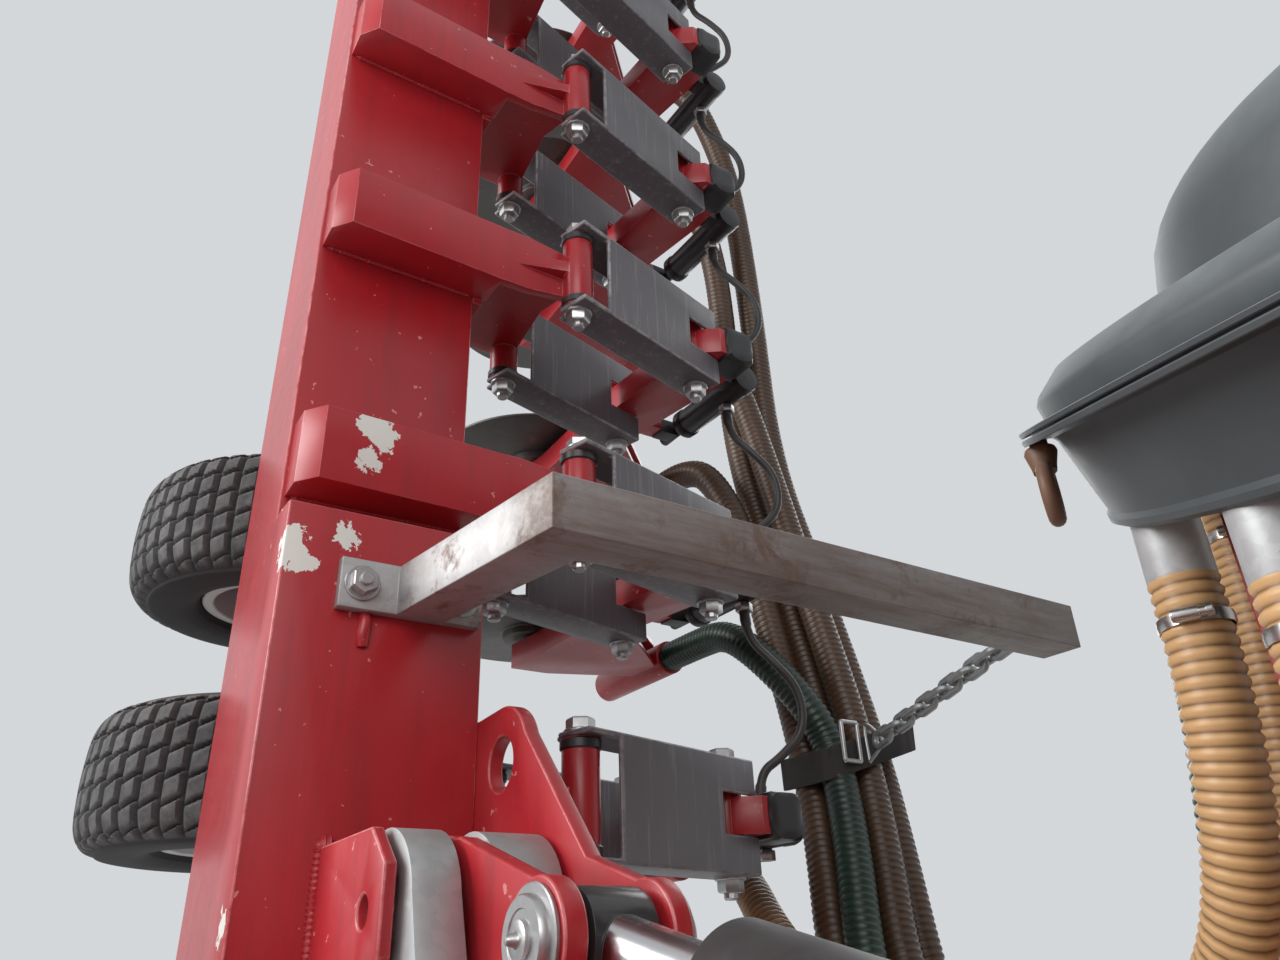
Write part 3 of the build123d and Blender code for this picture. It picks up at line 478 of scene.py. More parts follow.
class Tree:
    """Builds the nodes of one shader tree."""

    def __init__(self, tree: bpy.types.NodeTree) -> None:
        """Takes the tree that it fills."""
        self.tree = tree

    def add(self, kind: str, sockets: dict | None = None, **settings: object) -> bpy.types.Node:
        """Adds a node.

        Args:
            kind: The node's type.
            sockets: Input name or number to a plain value or to another node's output.
            settings: The node's own settings.

        Returns:
            The new node.
        """
        node = self.tree.nodes.new(kind)
        for key, value in settings.items():
            setattr(node, key, value)
        for key, value in (sockets or {}).items():
            if isinstance(value, bpy.types.NodeSocket):
                self.tree.links.new(value, node.inputs[key])
            else:
                node.inputs[key].default_value = value
        return node

    def math(self, operation: str, a: object, b: object = 0.0) -> bpy.types.NodeSocket:
        """One number worked out from one or two others."""
        return self.add("ShaderNodeMath", {0: a, 1: b}, operation=operation).outputs[0]

    def mix(self, factor: object, a: object, b: object, blend: str = "MIX") -> bpy.types.NodeSocket:
        """One colour mixed from two: a colour mix's inputs are 0, 6 and 7, and its output is 2."""
        node = self.add("ShaderNodeMix", {0: factor, 6: a, 7: b}, data_type="RGBA", blend_type=blend,
                        clamp_factor=True)
        return node.outputs[2]

    def spread(self, value: object, low: object, high: object, to_low: float = 0.0,
               to_high: float = 1.0) -> bpy.types.NodeSocket:
        """A number carried from one range to another, held at its ends."""
        node = self.add("ShaderNodeMapRange", {0: value, 1: low, 2: high, 3: to_low, 4: to_high}, clamp=True)
        return node.outputs[0]

    def noise(self, vector: bpy.types.NodeSocket, scale: float, detail: float = 4.0,
              rough: float = 0.55) -> bpy.types.NodeSocket:
        """Soft noise, 0 to 1, at a place."""
        node = self.add("ShaderNodeTexNoise",
                        {"Vector": vector, "Scale": scale, "Detail": detail, "Roughness": rough})
        return node.outputs[0]

    def place(self) -> bpy.types.NodeSocket:
        """The Object coordinates, in metres."""
        return self.add("ShaderNodeTexCoord").outputs["Object"]

    def axes(self) -> list[bpy.types.NodeSocket]:
        """The Object coordinates as three numbers."""
        return list(self.add("ShaderNodeSeparateXYZ", {0: self.place()}).outputs)

    def stretched(self, x: float, y: float, z: float) -> bpy.types.NodeSocket:
        """The Object coordinates, each times a number of its own, for streaks.

        Args:
            x: The number for X, where a large one makes fine streaks.
            y: The number for Y.
            z: The number for Z.

        Returns:
            The stretched place.
        """
        pairs = zip(self.axes(), (x, y, z))
        scaled = {k: self.math("MULTIPLY", axis, by) for k, (axis, by) in enumerate(pairs)}
        return self.add("ShaderNodeCombineXYZ", scaled).outputs[0]


def rgba(colour: Sequence[float]) -> tuple[float, float, float, float]:
    """A colour with full cover."""
    return (colour[0], colour[1], colour[2], 1.0)


def shader_group(name: str, inputs: Sequence[tuple[str, str, object]],
                 outputs: Sequence[tuple[str, str]]) -> tuple[Tree, bpy.types.Node, bpy.types.Node]:
    """Starts a node group.

    Args:
        name: The group's name.
        inputs: Name, socket type and first value of each input.
        outputs: Name and socket type of each output.

    Returns:
        The tree, its input node and its output node.
    """
    group = bpy.data.node_groups.new(name, "ShaderNodeTree")
    for label, kind, value in inputs:
        socket = group.interface.new_socket(name=label, in_out="INPUT", socket_type=kind)
        socket.default_value = value
    for label, kind in outputs:
        group.interface.new_socket(name=label, in_out="OUTPUT", socket_type=kind)
    tree = Tree(group)
    return tree, tree.add("NodeGroupInput"), tree.add("NodeGroupOutput")


def dust_group() -> bpy.types.NodeTree:
    """Dust: lies on faces that look up, clings in blotches elsewhere, and dulls the gloss.

    Returns:
        The group.
    """
    colour, number = "NodeSocketColor", "NodeSocketFloat"
    t, given, out = shader_group("dust", [
        ("Color", colour, (0.5, 0.5, 0.5, 1.0)), ("Dust", colour, (0.42, 0.36, 0.30, 1.0)),
        ("Amount", number, 0.3), ("Roughness", number, 0.5), ("Variation", number, 0.25),
    ], [("Color", colour), ("Roughness", number), ("Height", number)])
    place = t.place()
    blotch = t.noise(place, 5.5, 6.0, 0.62)
    grit = t.noise(place, 240.0, 3.0, 0.7)
    fine = t.noise(place, 38.0, 5.0, 0.65)
    up = t.add("ShaderNodeSeparateXYZ", {0: t.add("ShaderNodeNewGeometry").outputs["Normal"]}).outputs[2]
    lying = t.math("MULTIPLY", t.spread(up, 0.25, 0.95), t.spread(fine, 0.30, 0.62, 0.45, 1.0))
    patches = t.spread(blotch, 0.42, 0.82, 0.12, 0.62)
    clinging = t.math("MULTIPLY", patches, t.spread(fine, 0.30, 0.75, 0.5, 0.85))
    both = t.math("ADD", lying, clinging)
    mask = t.math("MULTIPLY", both, given.outputs["Amount"])
    shade = t.spread(t.noise(place, 2.1, 3.0), 0.3, 0.7, 0.80, 1.16)
    shade = t.math("ADD", t.math("MULTIPLY", t.math("SUBTRACT", shade, 1.0), given.outputs["Variation"]), 1.0)
    grey = t.add("ShaderNodeCombineColor", {0: shade, 1: shade, 2: shade}).outputs[0]
    toned = t.mix(1.0, given.outputs["Color"], grey, "MULTIPLY")
    dusted = t.mix(mask, toned, given.outputs["Dust"])
    rough = t.math("ADD", given.outputs["Roughness"], t.math("MULTIPLY", mask, 0.35))
    rough = t.math("ADD", rough, t.math("MULTIPLY", t.math("SUBTRACT", fine, 0.5), 0.18))
    height = t.math("ADD", t.math("MULTIPLY", grit, mask), t.math("MULTIPLY", fine, 0.35))
    for label, value in (("Color", dusted), ("Roughness", rough), ("Height", height)):
        t.tree.links.new(value, out.inputs[label])
    return t.tree


def edge_group() -> bpy.types.NodeTree:
    """Edge wear: where the edge attribute is high and noise allows, a second colour shows through.

    Returns:
        The group.
    """
    colour, number = "NodeSocketColor", "NodeSocketFloat"
    t, given, out = shader_group("edge_wear", [
        ("Color", colour, (0.5, 0.5, 0.5, 1.0)), ("Worn", colour, (0.8, 0.8, 0.8, 1.0)),
        ("Amount", number, 0.5),
    ], [("Color", colour), ("Mask", number)])
    place = t.place()
    edge = t.add("ShaderNodeAttribute", attribute_name="edge").outputs["Fac"]
    ragged = t.spread(t.noise(place, 46.0, 6.0, 0.7), 0.36, 0.56)
    slow = t.spread(t.noise(place, 4.0, 2.0), 0.35, 0.62, 0.15, 1.0)
    amount = t.math("MULTIPLY", slow, given.outputs["Amount"])
    mask = t.math("MULTIPLY", t.math("MULTIPLY", edge, ragged), amount)
    t.tree.links.new(t.mix(mask, given.outputs["Color"], given.outputs["Worn"]), out.inputs["Color"])
    t.tree.links.new(mask, out.inputs["Mask"])
    return t.tree


def rust_group() -> bpy.types.NodeTree:
    """Zinc spangle with rust: Voronoi cells of slightly different greys, under blotches of rust.

    Returns:
        The group.
    """
    colour, number = "NodeSocketColor", "NodeSocketFloat"
    t, given, out = shader_group("zinc_and_rust", [
        ("Color", colour, (0.4, 0.42, 0.42, 1.0)), ("Rust", colour, (0.17, 0.085, 0.045, 1.0)),
        ("Amount", number, 0.4),
    ], [("Color", colour), ("Mask", number), ("Height", number)])
    place = t.place()
    cells = t.add("ShaderNodeTexVoronoi", {"Vector": place, "Scale": 130.0})
    tone = t.add("ShaderNodeSeparateColor", {0: cells.outputs["Color"]}).outputs[0]
    tone = t.spread(tone, 0.0, 1.0, 0.93, 1.06)
    grey = t.add("ShaderNodeCombineColor", {0: tone, 1: tone, 2: tone}).outputs[0]
    zinc = t.mix(1.0, given.outputs["Color"], grey, "MULTIPLY")
    blotch = t.noise(place, 13.0, 8.0, 0.68)
    fine = t.noise(place, 120.0, 4.0, 0.7)
    reach = t.math("ADD", t.math("MULTIPLY", blotch, 0.75), t.math("MULTIPLY", fine, 0.25))
    level = t.math("SUBTRACT", 0.86, t.math("MULTIPLY", given.outputs["Amount"], 0.55))
    mask = t.spread(reach, t.math("SUBTRACT", level, 0.09), level)
    t.tree.links.new(t.mix(mask, zinc, given.outputs["Rust"]), out.inputs["Color"])
    t.tree.links.new(mask, out.inputs["Mask"])
    t.tree.links.new(t.math("ADD", t.math("MULTIPLY", mask, 0.6), t.math("MULTIPLY", fine, 0.5)),
                     out.inputs["Height"])
    return t.tree


# Places where the paint has come off down to its primer: X from the middle, Y, Z and radius
CHIPS = [
    (0.865, -0.273, 1.486, 0.020), (0.865, -0.260, 1.470, 0.016), (0.865, -0.264, 1.444, 0.012),
    (0.850, -0.337, 1.322, 0.017), (0.850, -0.284, 1.340, 0.011), (0.867, -0.345, 1.000, 0.010),
]


def chip_group() -> bpy.types.NodeTree:
    """Paint chips: a ragged patch of primer round each listed place, where distance plus noise is small.

    Returns:
        The group.
    """
    colour, number = "NodeSocketColor", "NodeSocketFloat"
    t, given, out = shader_group("paint_chips", [
        ("Color", colour, (0.5, 0.0, 0.0, 1.0)), ("Primer", colour, (0.74, 0.72, 0.66, 1.0)),
    ], [("Color", colour), ("Mask", number)])
    x, y, z = t.axes()
    mirrored = t.add("ShaderNodeCombineXYZ", {0: t.math("ABSOLUTE", x), 1: y, 2: z}).outputs[0]
    ragged = t.math("MULTIPLY", t.math("SUBTRACT", t.noise(t.place(), 30.0, 5.0, 0.7), 0.5), 0.085)
    mask: object = 0.0
    for *middle, r in CHIPS:
        away = t.add("ShaderNodeVectorMath", {0: mirrored, 1: middle}, operation="DISTANCE")
        near = t.spread(t.math("ADD", away.outputs["Value"], ragged), r, r + 0.0012, 1.0, 0.0)
        mask = t.math("MAXIMUM", mask, near)
    t.tree.links.new(t.mix(mask, given.outputs["Color"], given.outputs["Primer"]), out.inputs["Color"])
    t.tree.links.new(mask, out.inputs["Mask"])
    return t.tree


GROUPS: dict[str, bpy.types.NodeTree] = {}


def placed(t: Tree, name: str, maker: Callable[[], bpy.types.NodeTree], sockets: dict) -> bpy.types.Node:
    """Puts a shared group into a material, making the group at its first use.

    Args:
        t: The material's tree.
        name: The group's name.
        maker: Makes the group.
        sockets: Its inputs.

    Returns:
        The group's node.
    """
    if name not in GROUPS:
        GROUPS[name] = maker()
    return t.add("ShaderNodeGroup", sockets, node_tree=GROUPS[name])


@dataclass(frozen=True)
class Finish:
    """What every finish has: a name, the record's slot, a colour and how it catches the light."""

    name: str
    slot: str
    colour: tuple[float, float, float]
    roughness: float = 0.5
    metallic: float = 0.0
    dust: float = 0.3
    dust_colour: tuple[float, float, float] = (0.40, 0.36, 0.32)
    grain: float = 0.25
    coat: float = 0.0

    def tone(self, t: Tree) -> tuple[object, object, object]:
        """The colour before dust, the metallic value, and a height for the bump, or None."""
        return rgba(self.colour), self.metallic, None

    def material(self) -> bpy.types.Material:
        """The finish's material, made once.

        Returns:
            The material.
        """
        known = bpy.data.materials.get(self.name)
        if known is not None:
            return known
        made = bpy.data.materials.new(self.name)
        made.use_nodes = True
        made.node_tree.nodes.clear()
        t = Tree(made.node_tree)
        colour, metallic, height = self.tone(t)
        dust = placed(t, "dust", dust_group, {
            "Color": colour, "Dust": rgba(self.dust_colour), "Amount": self.dust,
            "Roughness": self.roughness,
        })
        top = dust.outputs["Height"]
        if height is not None:
            top = t.math("ADD", top, height)
        bump = t.add("ShaderNodeBump", {"Strength": self.grain, "Distance": 0.0006, "Height": top})
        shader = t.add("ShaderNodeBsdfPrincipled", {
            "Base Color": dust.outputs["Color"], "Roughness": dust.outputs["Roughness"],
            "Metallic": metallic, "Normal": bump.outputs[0], "Coat Weight": self.coat,
            "Coat Roughness": 0.25,
        })
        t.tree.links.new(shader.outputs[0], t.add("ShaderNodeOutputMaterial").inputs[0])
        return made


@dataclass(frozen=True)
class Paint(Finish):
    """Paint on steel, faded along its edges and chipped down to primer in places."""

    worn: tuple[float, float, float] = (0.75, 0.16, 0.17)
    wear: float = 0.7
    grime: tuple[float, float, float] = (0.17, 0.018, 0.020)
    chipped: bool = False

    def tone(self, t: Tree) -> tuple[object, object, object]:
        """Paint, then dirt that has run down it and pale flecks, then faded edges, then chips.

        Args:
            t: The material's tree.

        Returns:
            The colour, the metallic value and the bump's height.
        """
        place = t.place()
        fade = t.spread(t.noise(place, 1.3, 3.0), 0.38, 0.68)
        faded = tuple(min(1.0, c * 1.22 + 0.012) for c in self.colour)
        colour = t.mix(fade, rgba(self.colour), rgba(faded))
        if self.chipped:
            run = t.noise(t.stretched(34.0, 34.0, 3.0), 1.0, 6.0, 0.7)
            colour = t.mix(t.spread(run, 0.48, 0.72, 0.0, 0.40), colour, rgba(self.grime))
            fleck = t.spread(t.noise(place, 74.0, 3.0, 0.6), 0.700, 0.712, 0.0, 0.85)
            colour = t.mix(fleck, colour, rgba(self.worn))
        edge = placed(t, "edge_wear", edge_group,
                      {"Color": colour, "Worn": rgba(self.worn), "Amount": self.wear})
        colour, height = edge.outputs["Color"], t.math("MULTIPLY", edge.outputs["Mask"], -0.4)
        if self.chipped:
            chips = placed(t, "paint_chips", chip_group, {"Color": colour})
            colour = chips.outputs["Color"]
            height = t.math("SUBTRACT", height, t.math("MULTIPLY", chips.outputs["Mask"], 2.5))
        return colour, self.metallic, height


@dataclass(frozen=True)
class Scratched(Paint):
    """Dark paint with fine scratches and run marks along one direction, Z."""

    def tone(self, t: Tree) -> tuple[object, object, object]:
        """Worn paint under narrow streaks of noise that is stretched along Z.

        Args:
            t: The material's tree.

        Returns:
            The colour, the metallic value and the bump's height.
        """
        colour, metallic, height = super().tone(t)
        streak = t.spread(t.noise(t.stretched(90.0, 90.0, 5.0), 1.0, 6.0, 0.75), 0.54, 0.74, 0.0, 0.42)
        return t.mix(streak, colour, rgba(self.worn)), metallic, t.math("SUBTRACT", height, streak)


@dataclass(frozen=True)
class RamRod(Finish):
    """Chromed steel whose eye, round one axis along Y, is painted black."""

    eye: tuple[float, float] = (0.570, 0.974)
    eye_radius: float = 0.0335

    def tone(self, t: Tree) -> tuple[object, object, object]:
        """Black where the place lies within the eye's radius of its axis, chrome elsewhere.

        Args:
            t: The material's tree.

        Returns:
            The colour, the metallic value and the bump's height.
        """
        x, _, z = t.axes()
        dx = t.math("SUBTRACT", t.math("ABSOLUTE", x), self.eye[0])
        dz = t.math("SUBTRACT", z, self.eye[1])
        away = t.math("SQRT", t.math("ADD", t.math("MULTIPLY", dx, dx), t.math("MULTIPLY", dz, dz)))
        black = t.spread(away, self.eye_radius, self.eye_radius + 0.0006, 1.0, 0.0)
        metal = t.math("SUBTRACT", self.metallic, black)
        return t.mix(black, rgba(self.colour), (0.03, 0.03, 0.032, 1.0)), metal, None


@dataclass(frozen=True)
class Zinc(Finish):
    """Galvanised or plated steel with rust."""

    rust: float = 0.4
    rust_colour: tuple[float, float, float] = (0.17, 0.085, 0.045)

    def tone(self, t: Tree) -> tuple[object, object, object]:
        """Zinc spangle under rust; rust isn't metallic.

        Args:
            t: The material's tree.

        Returns:
            The colour, the metallic value and the bump's height.
        """
        node = placed(t, "zinc_and_rust", rust_group, {
            "Color": rgba(self.colour), "Rust": rgba(self.rust_colour), "Amount": self.rust,
        })
        metal = t.math("MULTIPLY", t.math("SUBTRACT", 1.0, node.outputs["Mask"]), self.metallic)
        return node.outputs["Color"], metal, node.outputs["Height"]


@dataclass(frozen=True)
class RustyBarWithPaintedShade(Zinc):
    """A galvanised bar with rust, whose sides and underside are darkened with a brown painted shade, and
    whose top stays pale.
    """

    # The colour of the painted shade on the faces that don't look up.
    film: tuple[float, float, float] = (0.155, 0.108, 0.086)
    corner: float = 0.615

    def tone(self, t: Tree) -> tuple[object, object, object]:
        """Zinc and rust, with a brown painted shade past the corner where the face doesn't look up, in
        streaks along the bar.

        Args:
            t: The material's tree.

        Returns:
            The colour, the metallic value and the bump's height.
        """
        colour, metal, height = super().tone(t)
        up = t.add("ShaderNodeSeparateXYZ", {0: t.add("ShaderNodeNewGeometry").outputs["Normal"]}).outputs[2]
        streak = t.spread(t.noise(t.stretched(60.0, 7.0, 60.0), 1.0, 6.0, 0.7), 0.30, 0.66, 0.35, 0.95)
        past = t.spread(t.math("ABSOLUTE", t.axes()[0]), self.corner, self.corner + 0.05, 1.0, 0.25)
        # Painted shade: the faces that don't look up are browned, in streaks along the bar.
        film = t.math("MULTIPLY", t.math("MULTIPLY", t.spread(up, 0.20, 0.60, 1.0, 0.0), streak), past)
        metal = t.math("MULTIPLY", metal, t.math("SUBTRACT", 1.0, film))
        return t.mix(film, colour, rgba(self.film)), metal, height


@dataclass(frozen=True)
class Rubber(Finish):
    """Tyre rubber, paler with dry earth on the tops of its lugs."""

    earth: tuple[float, float, float] = (0.135, 0.130, 0.132)

    def tone(self, t: Tree) -> tuple[object, object, object]:
        """Black in the grooves, earth on the tops where the edge attribute is high and noise allows.

        Args:
            t: The material's tree.

        Returns:
            The colour, the metallic value and the bump's height.
        """
        top = t.add("ShaderNodeAttribute", attribute_name="edge").outputs["Fac"]
        place = t.place()
        worn = t.spread(t.noise(place, 60.0, 5.0, 0.7), 0.36, 0.60, 0.25, 1.0)
        slow = t.spread(t.noise(place, 5.0, 3.0), 0.35, 0.62, 0.25, 0.85)
        mask = t.math("MULTIPLY", top, t.math("MULTIPLY", worn, slow))
        return t.mix(mask, rgba(self.colour), rgba(self.earth)), 0.0, None


@dataclass(frozen=True)
class Hose(Finish):
    """Ribbed hose, clean at its outlet and browner farther along, with painted shade in its grooves."""

    dirty: tuple[float, float, float] = (0.046, 0.025, 0.0140)
    # The colour that the valleys between the ribs are darkened towards, as painted shade.
    groove: tuple[float, float, float] = (0.13, 0.055, 0.018)
    clean_until: float = 0.16

    def tone(self, t: Tree) -> tuple[object, object, object]:
        """The clean colour goes over to the dirty one along the hose, with noise on the way.

        Args:
            t: The material's tree.

        Returns:
            The colour, the metallic value and the bump's height.
        """
        along = t.add("ShaderNodeAttribute", attribute_name="along").outputs["Fac"]
        wander = t.math("MULTIPLY", t.math("SUBTRACT", t.noise(t.place(), 7.0, 5.0, 0.65), 0.5), 0.22)
        far = t.spread(t.math("ADD", along, wander), self.clean_until, self.clean_until + 0.16)
        blotch = t.spread(t.noise(t.place(), 26.0, 4.0, 0.7), 0.40, 0.75, 0.0, 0.35)
        lighter = tuple(c * 2.4 for c in self.dirty)
        dirt = t.mix(blotch, rgba(self.dirty), rgba(lighter))
        colour = t.mix(far, rgba(self.colour), dirt)
        # Painted shade: the valleys between the ribs are darkened evenly towards the groove colour.
        groove = t.math("POWER", t.add("ShaderNodeAttribute", attribute_name="edge").outputs["Fac"], 1.5)
        return t.mix(t.math("MULTIPLY", groove, 0.85), colour, rgba(self.groove)), 0.0, None


RED = Paint("red_paint_worn", "red_paint", (0.37, 0.0085, 0.0150), 0.34, dust=0.12,
            dust_colour=(0.36, 0.085, 0.080), coat=0.15, worn=(0.70, 0.24, 0.24), wear=0.9, chipped=True)
LINK_GREY = Scratched("link_grey_paint", "grey_link_paint", (0.108, 0.101, 0.112), 0.42, dust=0.12,
                      dust_colour=(0.20, 0.19, 0.19), worn=(0.46, 0.45, 0.45), wear=0.85)
BLACK = Paint("black_paint_worn", "black_paint", (0.016, 0.016, 0.018), 0.36, dust=0.20,
              dust_colour=(0.15, 0.14, 0.13), worn=(0.30, 0.29, 0.28), wear=0.35)
CHROME = RamRod("chromed_rod_steel", "chromed_rod", (0.62, 0.62, 0.63), 0.20, metallic=1.0, dust=0.12,
                grain=0.05)
DISC = Zinc("disc_dark_steel", "disc_steel", (0.085, 0.08, 0.078), 0.42, metallic=0.6, dust=0.45, rust=0.35)
RIM = Paint("rim_silver_paint", "rim_paint", (0.50, 0.51, 0.51), 0.42, metallic=0.3, dust=0.45,
            worn=(0.22, 0.14, 0.10), wear=0.6)
TYRE = Rubber("tyre_rubber", "tyre", (0.014, 0.014, 0.017), 0.74, dust=0.45, dust_colour=(0.22, 0.205, 0.18),
              grain=0.5)
BOLT_STEEL = Zinc("bolt_zinc", "galvanised", (0.46, 0.46, 0.46), 0.34, metallic=0.85, dust=0.25, rust=0.30)
CLAMP_STEEL = Zinc("clamp_steel", "galvanised", (0.62, 0.60, 0.58), 0.24, metallic=0.95, dust=0.15, rust=0.12)
RUSTY = Zinc("rusty_casting", "galvanised", (0.30, 0.21, 0.15), 0.52, metallic=0.5, dust=0.3, rust=0.75,
             rust_colour=(0.20, 0.10, 0.055))
OIL_HOSE = Finish("oil_hose_rubber", "oil_hose", (0.016, 0.016, 0.017), 0.45, dust=0.35)
ZINC = Zinc("galvanised_steel", "galvanised", (0.42, 0.445, 0.445), 0.46, metallic=0.7, dust=0.25, rust=0.22)
STUB_ZINC = Zinc("outlet_zinc_pale", "galvanised", (0.60, 0.62, 0.62), 0.46, metallic=0.35, dust=0.25,
                 rust=0.25)
BAR_STEEL = RustyBarWithPaintedShade("bar_rust_and_painted_shade", "galvanised", (0.40, 0.40, 0.40), 0.48, metallic=0.6, dust=0.2,
                         rust=0.45, rust_colour=(0.15, 0.080, 0.052))
WEBBING = Finish("strap_webbing_black", "strap_webbing", (0.014, 0.014, 0.015), 0.85, dust=0.35)
# A hose's groove colour is the painted shade in the valleys between its ribs.
AMBER_HOSE = Hose("hose_amber", "hose", (0.76, 0.46, 0.21), 0.40, dust=0.14, dust_colour=(0.22, 0.15, 0.10))
GREEN_HOSE = Hose("hose_green", "hose", (0.006, 0.075, 0.036), 0.38, dust=0.15, dirty=(0.009, 0.026, 0.018),
                  groove=(0.004, 0.014, 0.009), dust_colour=(0.12, 0.12, 0.10))
DISTRIBUTOR = Paint("distributor_dark_paint", "distributor_grey", (0.060, 0.072, 0.077), 0.46, dust=0.62,
                    dust_colour=(0.27, 0.29, 0.30), worn=(0.25, 0.22, 0.20), wear=0.5)

FINISH_OF_SLOT: dict[str, Finish] = {
    "red_paint": RED, "grey_link_paint": LINK_GREY, "black_paint": BLACK, "chromed_rod": CHROME,
    "disc_steel": DISC, "rim_paint": RIM, "tyre": TYRE, "galvanised": ZINC, "strap_webbing": WEBBING,
    "hose": AMBER_HOSE, "distributor_grey": DISTRIBUTOR, "oil_hose": OIL_HOSE,
}


FINISH_OF_NODE: dict[str, Finish] = {"hose_bar_right": BAR_STEEL, "hose_bar_left": BAR_STEEL}


# Rigid CAD pieces with their edges eased

SORT_ALONG = Vector((0.7313, 0.5119, 0.4507))


def put_in_order(made: bmesh.types.BMesh) -> None:
    """Sorts points along a slanting line, and edges and faces by their points' numbers.

    Bevel leaves them in an order that varies from run to run. The key of an edge or a face is
    (a n + b) n + c, with its lowest point numbers a < b < c out of n.

    Args:
        made: The mesh that is sorted.
    """
    made.verts.sort(key=lambda point: point.co.dot(SORT_ALONG))
    made.verts.index_update()
    n = len(made.verts)

    def key(part: bmesh.types.BMEdge | bmesh.types.BMFace) -> float:
        """The number that an edge or a face is sorted by."""
        total = 0
        for number in sorted(point.index for point in part.verts)[:3]:
            total = total * n + number
        return float(total)

    made.edges.sort(key=key)
    made.faces.sort(key=key)


@dataclass
class EasedNode:
    """A copy of one CAD node whose sharp edges are rounded, and marked so that they wear."""

    node: str
    finish: Finish
    radius: float = 0.0025
    segments: int = 2
    sharp_from: float = 28.0

    def build(self) -> bpy.types.Object:
        """Merges the copy's loose triangles, rounds its edges and puts it in the node's place.

        Returns:
            The new piece, which stands for the node.
        """
        source = frame["nodes"][self.node]
        made = bmesh.new()
        made.from_mesh(source.data)
        made.transform(source.matrix_world)
        bmesh.ops.remove_doubles(made, verts=made.verts, dist=1e-5)
        bmesh.ops.dissolve_limit(made, angle_limit=radians(1.0), verts=made.verts, edges=made.edges)
        mark = made.loops.layers.float.new("edge")
        sharp = [e for e in made.edges if len(e.link_faces) == 2
                 and e.calc_face_angle(0.0) > radians(self.sharp_from)]
        done = bmesh.ops.bevel(made, geom=sharp, offset=self.radius, segments=self.segments, profile=0.5,
                               affect="EDGES", clamp_overlap=True)
        for face in done["faces"]:
            for corner in face.loops:
                corner[mark] = 1.0
        bmesh.ops.triangulate(made, faces=[f for f in made.faces if len(f.verts) > 4])
        put_in_order(made)
        mesh = bpy.data.meshes.new(self.node + "_eased")
        made.to_mesh(mesh)
        made.free()
        mesh.shade_smooth()
        mesh.set_sharp_from_angle(angle=radians(38.0))
        piece = bpy.data.objects.new(self.node + "_eased", mesh)
        install(piece, self.finish, BODY_OF[self.node])
        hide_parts(self.node)
        return piece


BODY_OF: dict[str, str] = {
    node: body for body, nodes in frame["record"]["behaviour"]["bodies"].items() for node in nodes
}
SLOT_OF: dict[str, str] = {row["node"]: row["material_slot"] for row in frame["record"]["subparts"]}


# Smooth lines


def smooth_line(name: str, control: np.ndarray) -> np.ndarray:
    """The route's smooth line: points of a NURBS spline of order 3 with its points as control points.

    Args:
        name: A name for the curve while it is used.
        control: Rows of control points in metres.

    Returns:
        Rows of points along the line.
    """
    curve = bpy.data.curves.new(name, "CURVE")
    curve.dimensions = "3D"
    curve.resolution_u = 24
    spline = curve.splines.new("NURBS")
    spline.points.add(len(control) - 1)
    spline.points.foreach_set("co", np.concatenate([control, np.ones((len(control), 1))], axis=1).ravel())
    spline.order_u = 3
    spline.use_endpoint_u = True
    holder = bpy.data.objects.new(name, curve)
    mesh = bpy.data.meshes.new_from_object(holder)
    line = np.empty(len(mesh.vertices) * 3)
    mesh.vertices.foreach_get("co", line)
    bpy.data.meshes.remove(mesh)
    bpy.data.objects.remove(holder)
    bpy.data.curves.remove(curve)
    return line.reshape(-1, 3)


# Gauge wheels

WHEEL_PLACES = (0.182, 0.500)
WHEEL_Y = 0.010
WHEEL_N = -0.400


